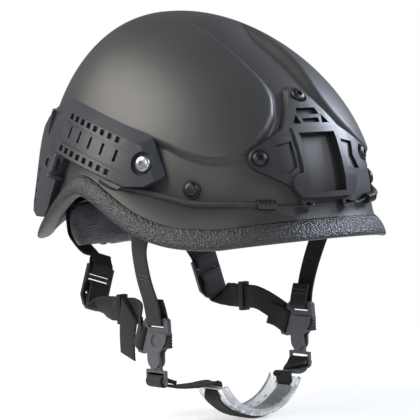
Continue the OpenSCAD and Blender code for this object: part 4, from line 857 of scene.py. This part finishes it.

# Tumbled leather: a grain of cells about 2.4 mm wide and wider soft folds, with a painted highlight that
# makes the folds paler on their tops
nape_hide = bpy.data.materials.new("soft grained leather")
nape_hide.use_nodes = True
tree = nape_hide.node_tree
hide = tree.nodes["Principled BSDF"]
place = add(tree, "ShaderNodeTexCoord")
cells = add(tree, "ShaderNodeTexVoronoi", {"Vector": place.outputs["Object"], "Scale": 420},
            feature="DISTANCE_TO_EDGE")
folds = add(tree, "ShaderNodeTexNoise", {"Vector": place.outputs["Object"], "Scale": 70, "Detail": 5,
            "Distortion": 1.2})
relief = add(tree, "ShaderNodeMath", {0: cells.outputs["Distance"], 1: folds.outputs["Fac"]},
             operation="ADD")
# Painted highlight: the tops of the folds are painted paler
tone = add(tree, "ShaderNodeMix", {0: folds.outputs["Fac"], 6: linear("3c3e42"), 7: linear("6c6f75")},
           data_type="RGBA")
tree.links.new(tone.outputs[2], hide.inputs["Base Color"])
hide.inputs["Roughness"].default_value = 0.5
bump = add(tree, "ShaderNodeBump", {"Height": relief.outputs[0], "Strength": 0.9, "Distance": 0.002})
tree.links.new(bump.outputs["Normal"], hide.inputs["Normal"])

pad_gap, pad_t, nape_t = 3.6, 17, 11


def block_mesh(back, front, n, m):
    """A closed block from the points of its back and front, n columns of m each."""
    k = n*m
    faces = []
    for i in range(n - 1):
        for j in range(m - 1):
            a, b = i*m + j, i*m + m + j
            faces += [(a, b, b + 1, a + 1), (k + a, k + a + 1, k + b + 1, k + b)]
        faces += [(i*m, k + i*m, k + i*m + m, i*m + m),
                  (i*m + m - 1, i*m + 2*m - 1, k + i*m + 2*m - 1, k + i*m + m - 1)]
    for j in range(m - 1):
        faces += [(j, j + 1, k + j + 1, k + j), (k - m + j, 2*k - m + j, 2*k - m + j + 1, k - m + j + 1)]
    return np.concatenate([back.reshape(-1, 3), front.reshape(-1, 3)]), faces


def pad_block(a0, a1, z0, z1, gap=pad_gap):
    """A comfort pad along the lining, between two plan angles and two heights, with drawn-in sides."""
    n, m, side_h, corner_dip = 14, 11, 5, 1.2
    u, v = np.meshgrid(np.linspace(-1, 1, n), np.linspace(1, -1, m), indexing="ij")
    soft = np.sqrt(np.maximum(0, 1 - np.abs(u)**5))*np.sqrt(np.maximum(0, 1 - np.abs(v)**5))

    def spot(u, v, off):
        return outer((a0 + a1)/2 + (a1 - a0)/2*u*(1 - 0.1*v*v),
                     (z0 + z1)/2 - waist_z + (z1 - z0)/2*v*(1 - 0.1*u*u), off)
    back = spot(u, v, -wall - gap - corner_dip*(1 - soft))
    front = spot(u*0.97, v*0.97, -wall - gap - side_h - (pad_t - side_h)*soft)
    return block_mesh(back, front, n, m)


def crown_block():
    """The round pad under the crown, in rings from its middle out over its edge and back."""
    n = 36
    turn = np.linspace(-180, 180, n, endpoint=False)
    gap = pad_gap + 2

    def ring(r, off):
        down_wall = r*(1 + 0.25*np.cos(np.radians(turn)))
        return outer(turn, bend_q(down_wall, np.full(n, -10.0)), -wall - gap - off)
    rings = [ring(r, off) for r, off in ((0.12, 0), (0.26, 0), (0.36, 0), (0.42, 1.5), (0.415, 6),
                                         (0.37, pad_t - 3), (0.26, pad_t - 0.6), (0.12, pad_t))]
    points = np.concatenate(rings + [outer(0, rise, -wall - gap).reshape(1, 3),
                                     outer(0, rise, -wall - gap - pad_t).reshape(1, 3)])
    faces = []
    for a in range(0, 7*n, n):
        faces += [(a + i, a + (i + 1) % n, a + n + (i + 1) % n, a + n + i) for i in range(n)]
    faces += [(8*n, (i + 1) % n, i) for i in range(n)]
    faces += [(8*n + 1, 7*n + i, 7*n + (i + 1) % n) for i in range(n)]
    return points, faces


def nape_block():
    """The nape pad: a bowed flap that narrows to its ends and is thickest in the middle."""
    n, m, nape_r, nape_a, nape_y, nape_z, half_h = 21, 13, 99, 48.5, 14, 8, 21
    u, v = np.meshgrid(np.linspace(-1, 1, n), np.linspace(1, -1, m), indexing="ij")
    puff = np.sqrt(np.maximum(0, 1 - np.abs(u)**6))*np.sqrt(np.maximum(0, 1 - np.abs(v)**4))

    def at(r):
        a = np.radians(nape_a*u*(1 - 0.06*v*v))
        w = v*(1 - 0.2*u*u)
        return np.stack([-r*np.sin(a), nape_y + r*np.cos(a) - 4*w*w - 7*(1 - w)/2, nape_z + half_h*w], -1)
    return block_mesh(at(nape_r + nape_t/2*puff + 1), at(nape_r - nape_t/2*puff - 1), n, m)


def stuffed(node, blocks, finish):
    """A padded piece: its blocks are remeshed and blown up as cloth, and no point moves more than swell."""
    voxel, air_force, swell, moments = 0.004, 4, 0.003, 20
    points, faces, start = [], [], 0
    for p, f in blocks:
        faces += [tuple(start + i for i in q) for q in f]
        points.append(p)
        start += len(p)
    part = new_piece(f"{node}_stuffed", np.concatenate(points), faces, finish, "helmet", [node])
    bpy.ops.object.select_all(action="DESELECT")
    bpy.context.view_layer.objects.active = part
    part.select_set(True)
    bpy.ops.object.mode_set(mode="EDIT")
    bpy.ops.mesh.select_all(action="SELECT")
    bpy.ops.mesh.remove_doubles(threshold=0.00005)
    bpy.ops.mesh.normals_make_consistent(inside=False)
    bpy.ops.object.mode_set(mode="OBJECT")
    skin_in = part.modifiers.new("remesh", "REMESH")
    skin_in.mode = "VOXEL"
    skin_in.voxel_size = voxel
    bpy.ops.object.modifier_apply(modifier=skin_in.name)
    count = len(part.data.vertices)
    before = np.empty(count*3)
    part.data.vertices.foreach_get("co", before)
    air = part.modifiers.new("air", "CLOTH")
    air.settings.use_pressure = True
    air.settings.uniform_pressure_force = air_force
    air.settings.effector_weights.gravity = 0
    air.settings.quality = 5
    air.point_cache.frame_start, air.point_cache.frame_end = 1, moments
    for moment in range(1, moments + 1):
        bpy.context.scene.frame_set(moment)
    bpy.ops.object.modifier_apply(modifier=air.name)
    after = np.empty(count*3)
    part.data.vertices.foreach_get("co", after)
    move = (after - before).reshape(-1, 3)
    far = np.linalg.norm(move, axis=1, keepdims=True)
    move *= np.minimum(1, swell/np.maximum(far, 1e-9))
    part.data.vertices.foreach_set("co", (before.reshape(-1, 3) + move).ravel())
    bpy.context.scene.frame_set(1)
    fine = part.modifiers.new("fine", "SUBSURF")
    fine.levels = fine.render_levels = 1
    bpy.ops.object.modifier_apply(modifier=fine.name)
    part.data.polygons.foreach_set("use_smooth", [True]*len(part.data.polygons))


# Discs of hook tape 20 mm wide between the pads and the shell, black and dull with rows of fine stiff hooks
disc_r = 0.01
hook_tape = bpy.data.materials.new("hook tape")
hook_tape.use_nodes = True
tree = hook_tape.node_tree
tape = tree.nodes["Principled BSDF"]
tape.inputs["Base Color"].default_value = linear("161617")
tape.inputs["Roughness"].default_value = 0.7
place = add(tree, "ShaderNodeTexCoord")
hooks = add(tree, "ShaderNodeTexVoronoi", {"Vector": place.outputs["Object"], "Scale": 1100})
bump = add(tree, "ShaderNodeBump", {"Height": hooks.outputs["Distance"], "Strength": 0.8,
           "Distance": 0.0006})
tree.links.new(bump.outputs["Normal"], tape.inputs["Normal"])
for name, a, z, deep, sink in (
        ("front", 0, 74, 5, 0.9), ("rear", 180, 78, 4.4, 0.9), ("crown", 180, 171, 6, 1.5),
        ("right_front", -83, 88, 4.4, 0.9), ("right_rear", -120.5, 84, 4.4, 0.9),
        ("left_front", 83, 88, 4.4, 0.9), ("left_rear", 120.5, 84, 4.4, 0.9)):
    spot = outer(a, z - waist_z, -wall - sink - deep/2)/1000
    n = Vector(facing(np.array(float(a)), np.array(float(z - waist_z))))
    bpy.ops.object.select_all(action="DESELECT")
    bpy.ops.mesh.primitive_cylinder_add(vertices=48, radius=disc_r, depth=deep/1000,
                                        location=spot.ravel().tolist(),
                                        rotation=n.to_track_quat("Z", "Y").to_euler())
    part = bpy.context.object
    part.name = f"hook_disc_{name}"
    bpy.ops.object.transform_apply(location=True, rotation=True, scale=True)
    bpy.ops.object.shade_smooth_by_angle(angle=math.radians(32))
    part.data.materials.append(hook_tape)
    dress(part, "helmet", ())

side_pads = [pad_block(-99, -67, 62, 118), pad_block(-136, -105, 58, 112)]
left_pads = [(mirrored(p), [f[::-1] for f in q]) for p, q in side_pads]
stuffed("pad_crown", [crown_block()], pad_cloth)
stuffed("pad_front", [pad_block(-27, 27, 38, 96, pad_gap + 0.8)], pad_cloth)
stuffed("pad_rear", [pad_block(151, 209, 48, 108)], pad_cloth)
stuffed("pads_right", side_pads, pad_cloth)
stuffed("pads_left", left_pads, pad_cloth)
stuffed("nape_pad", [nape_block()], nape_hide)
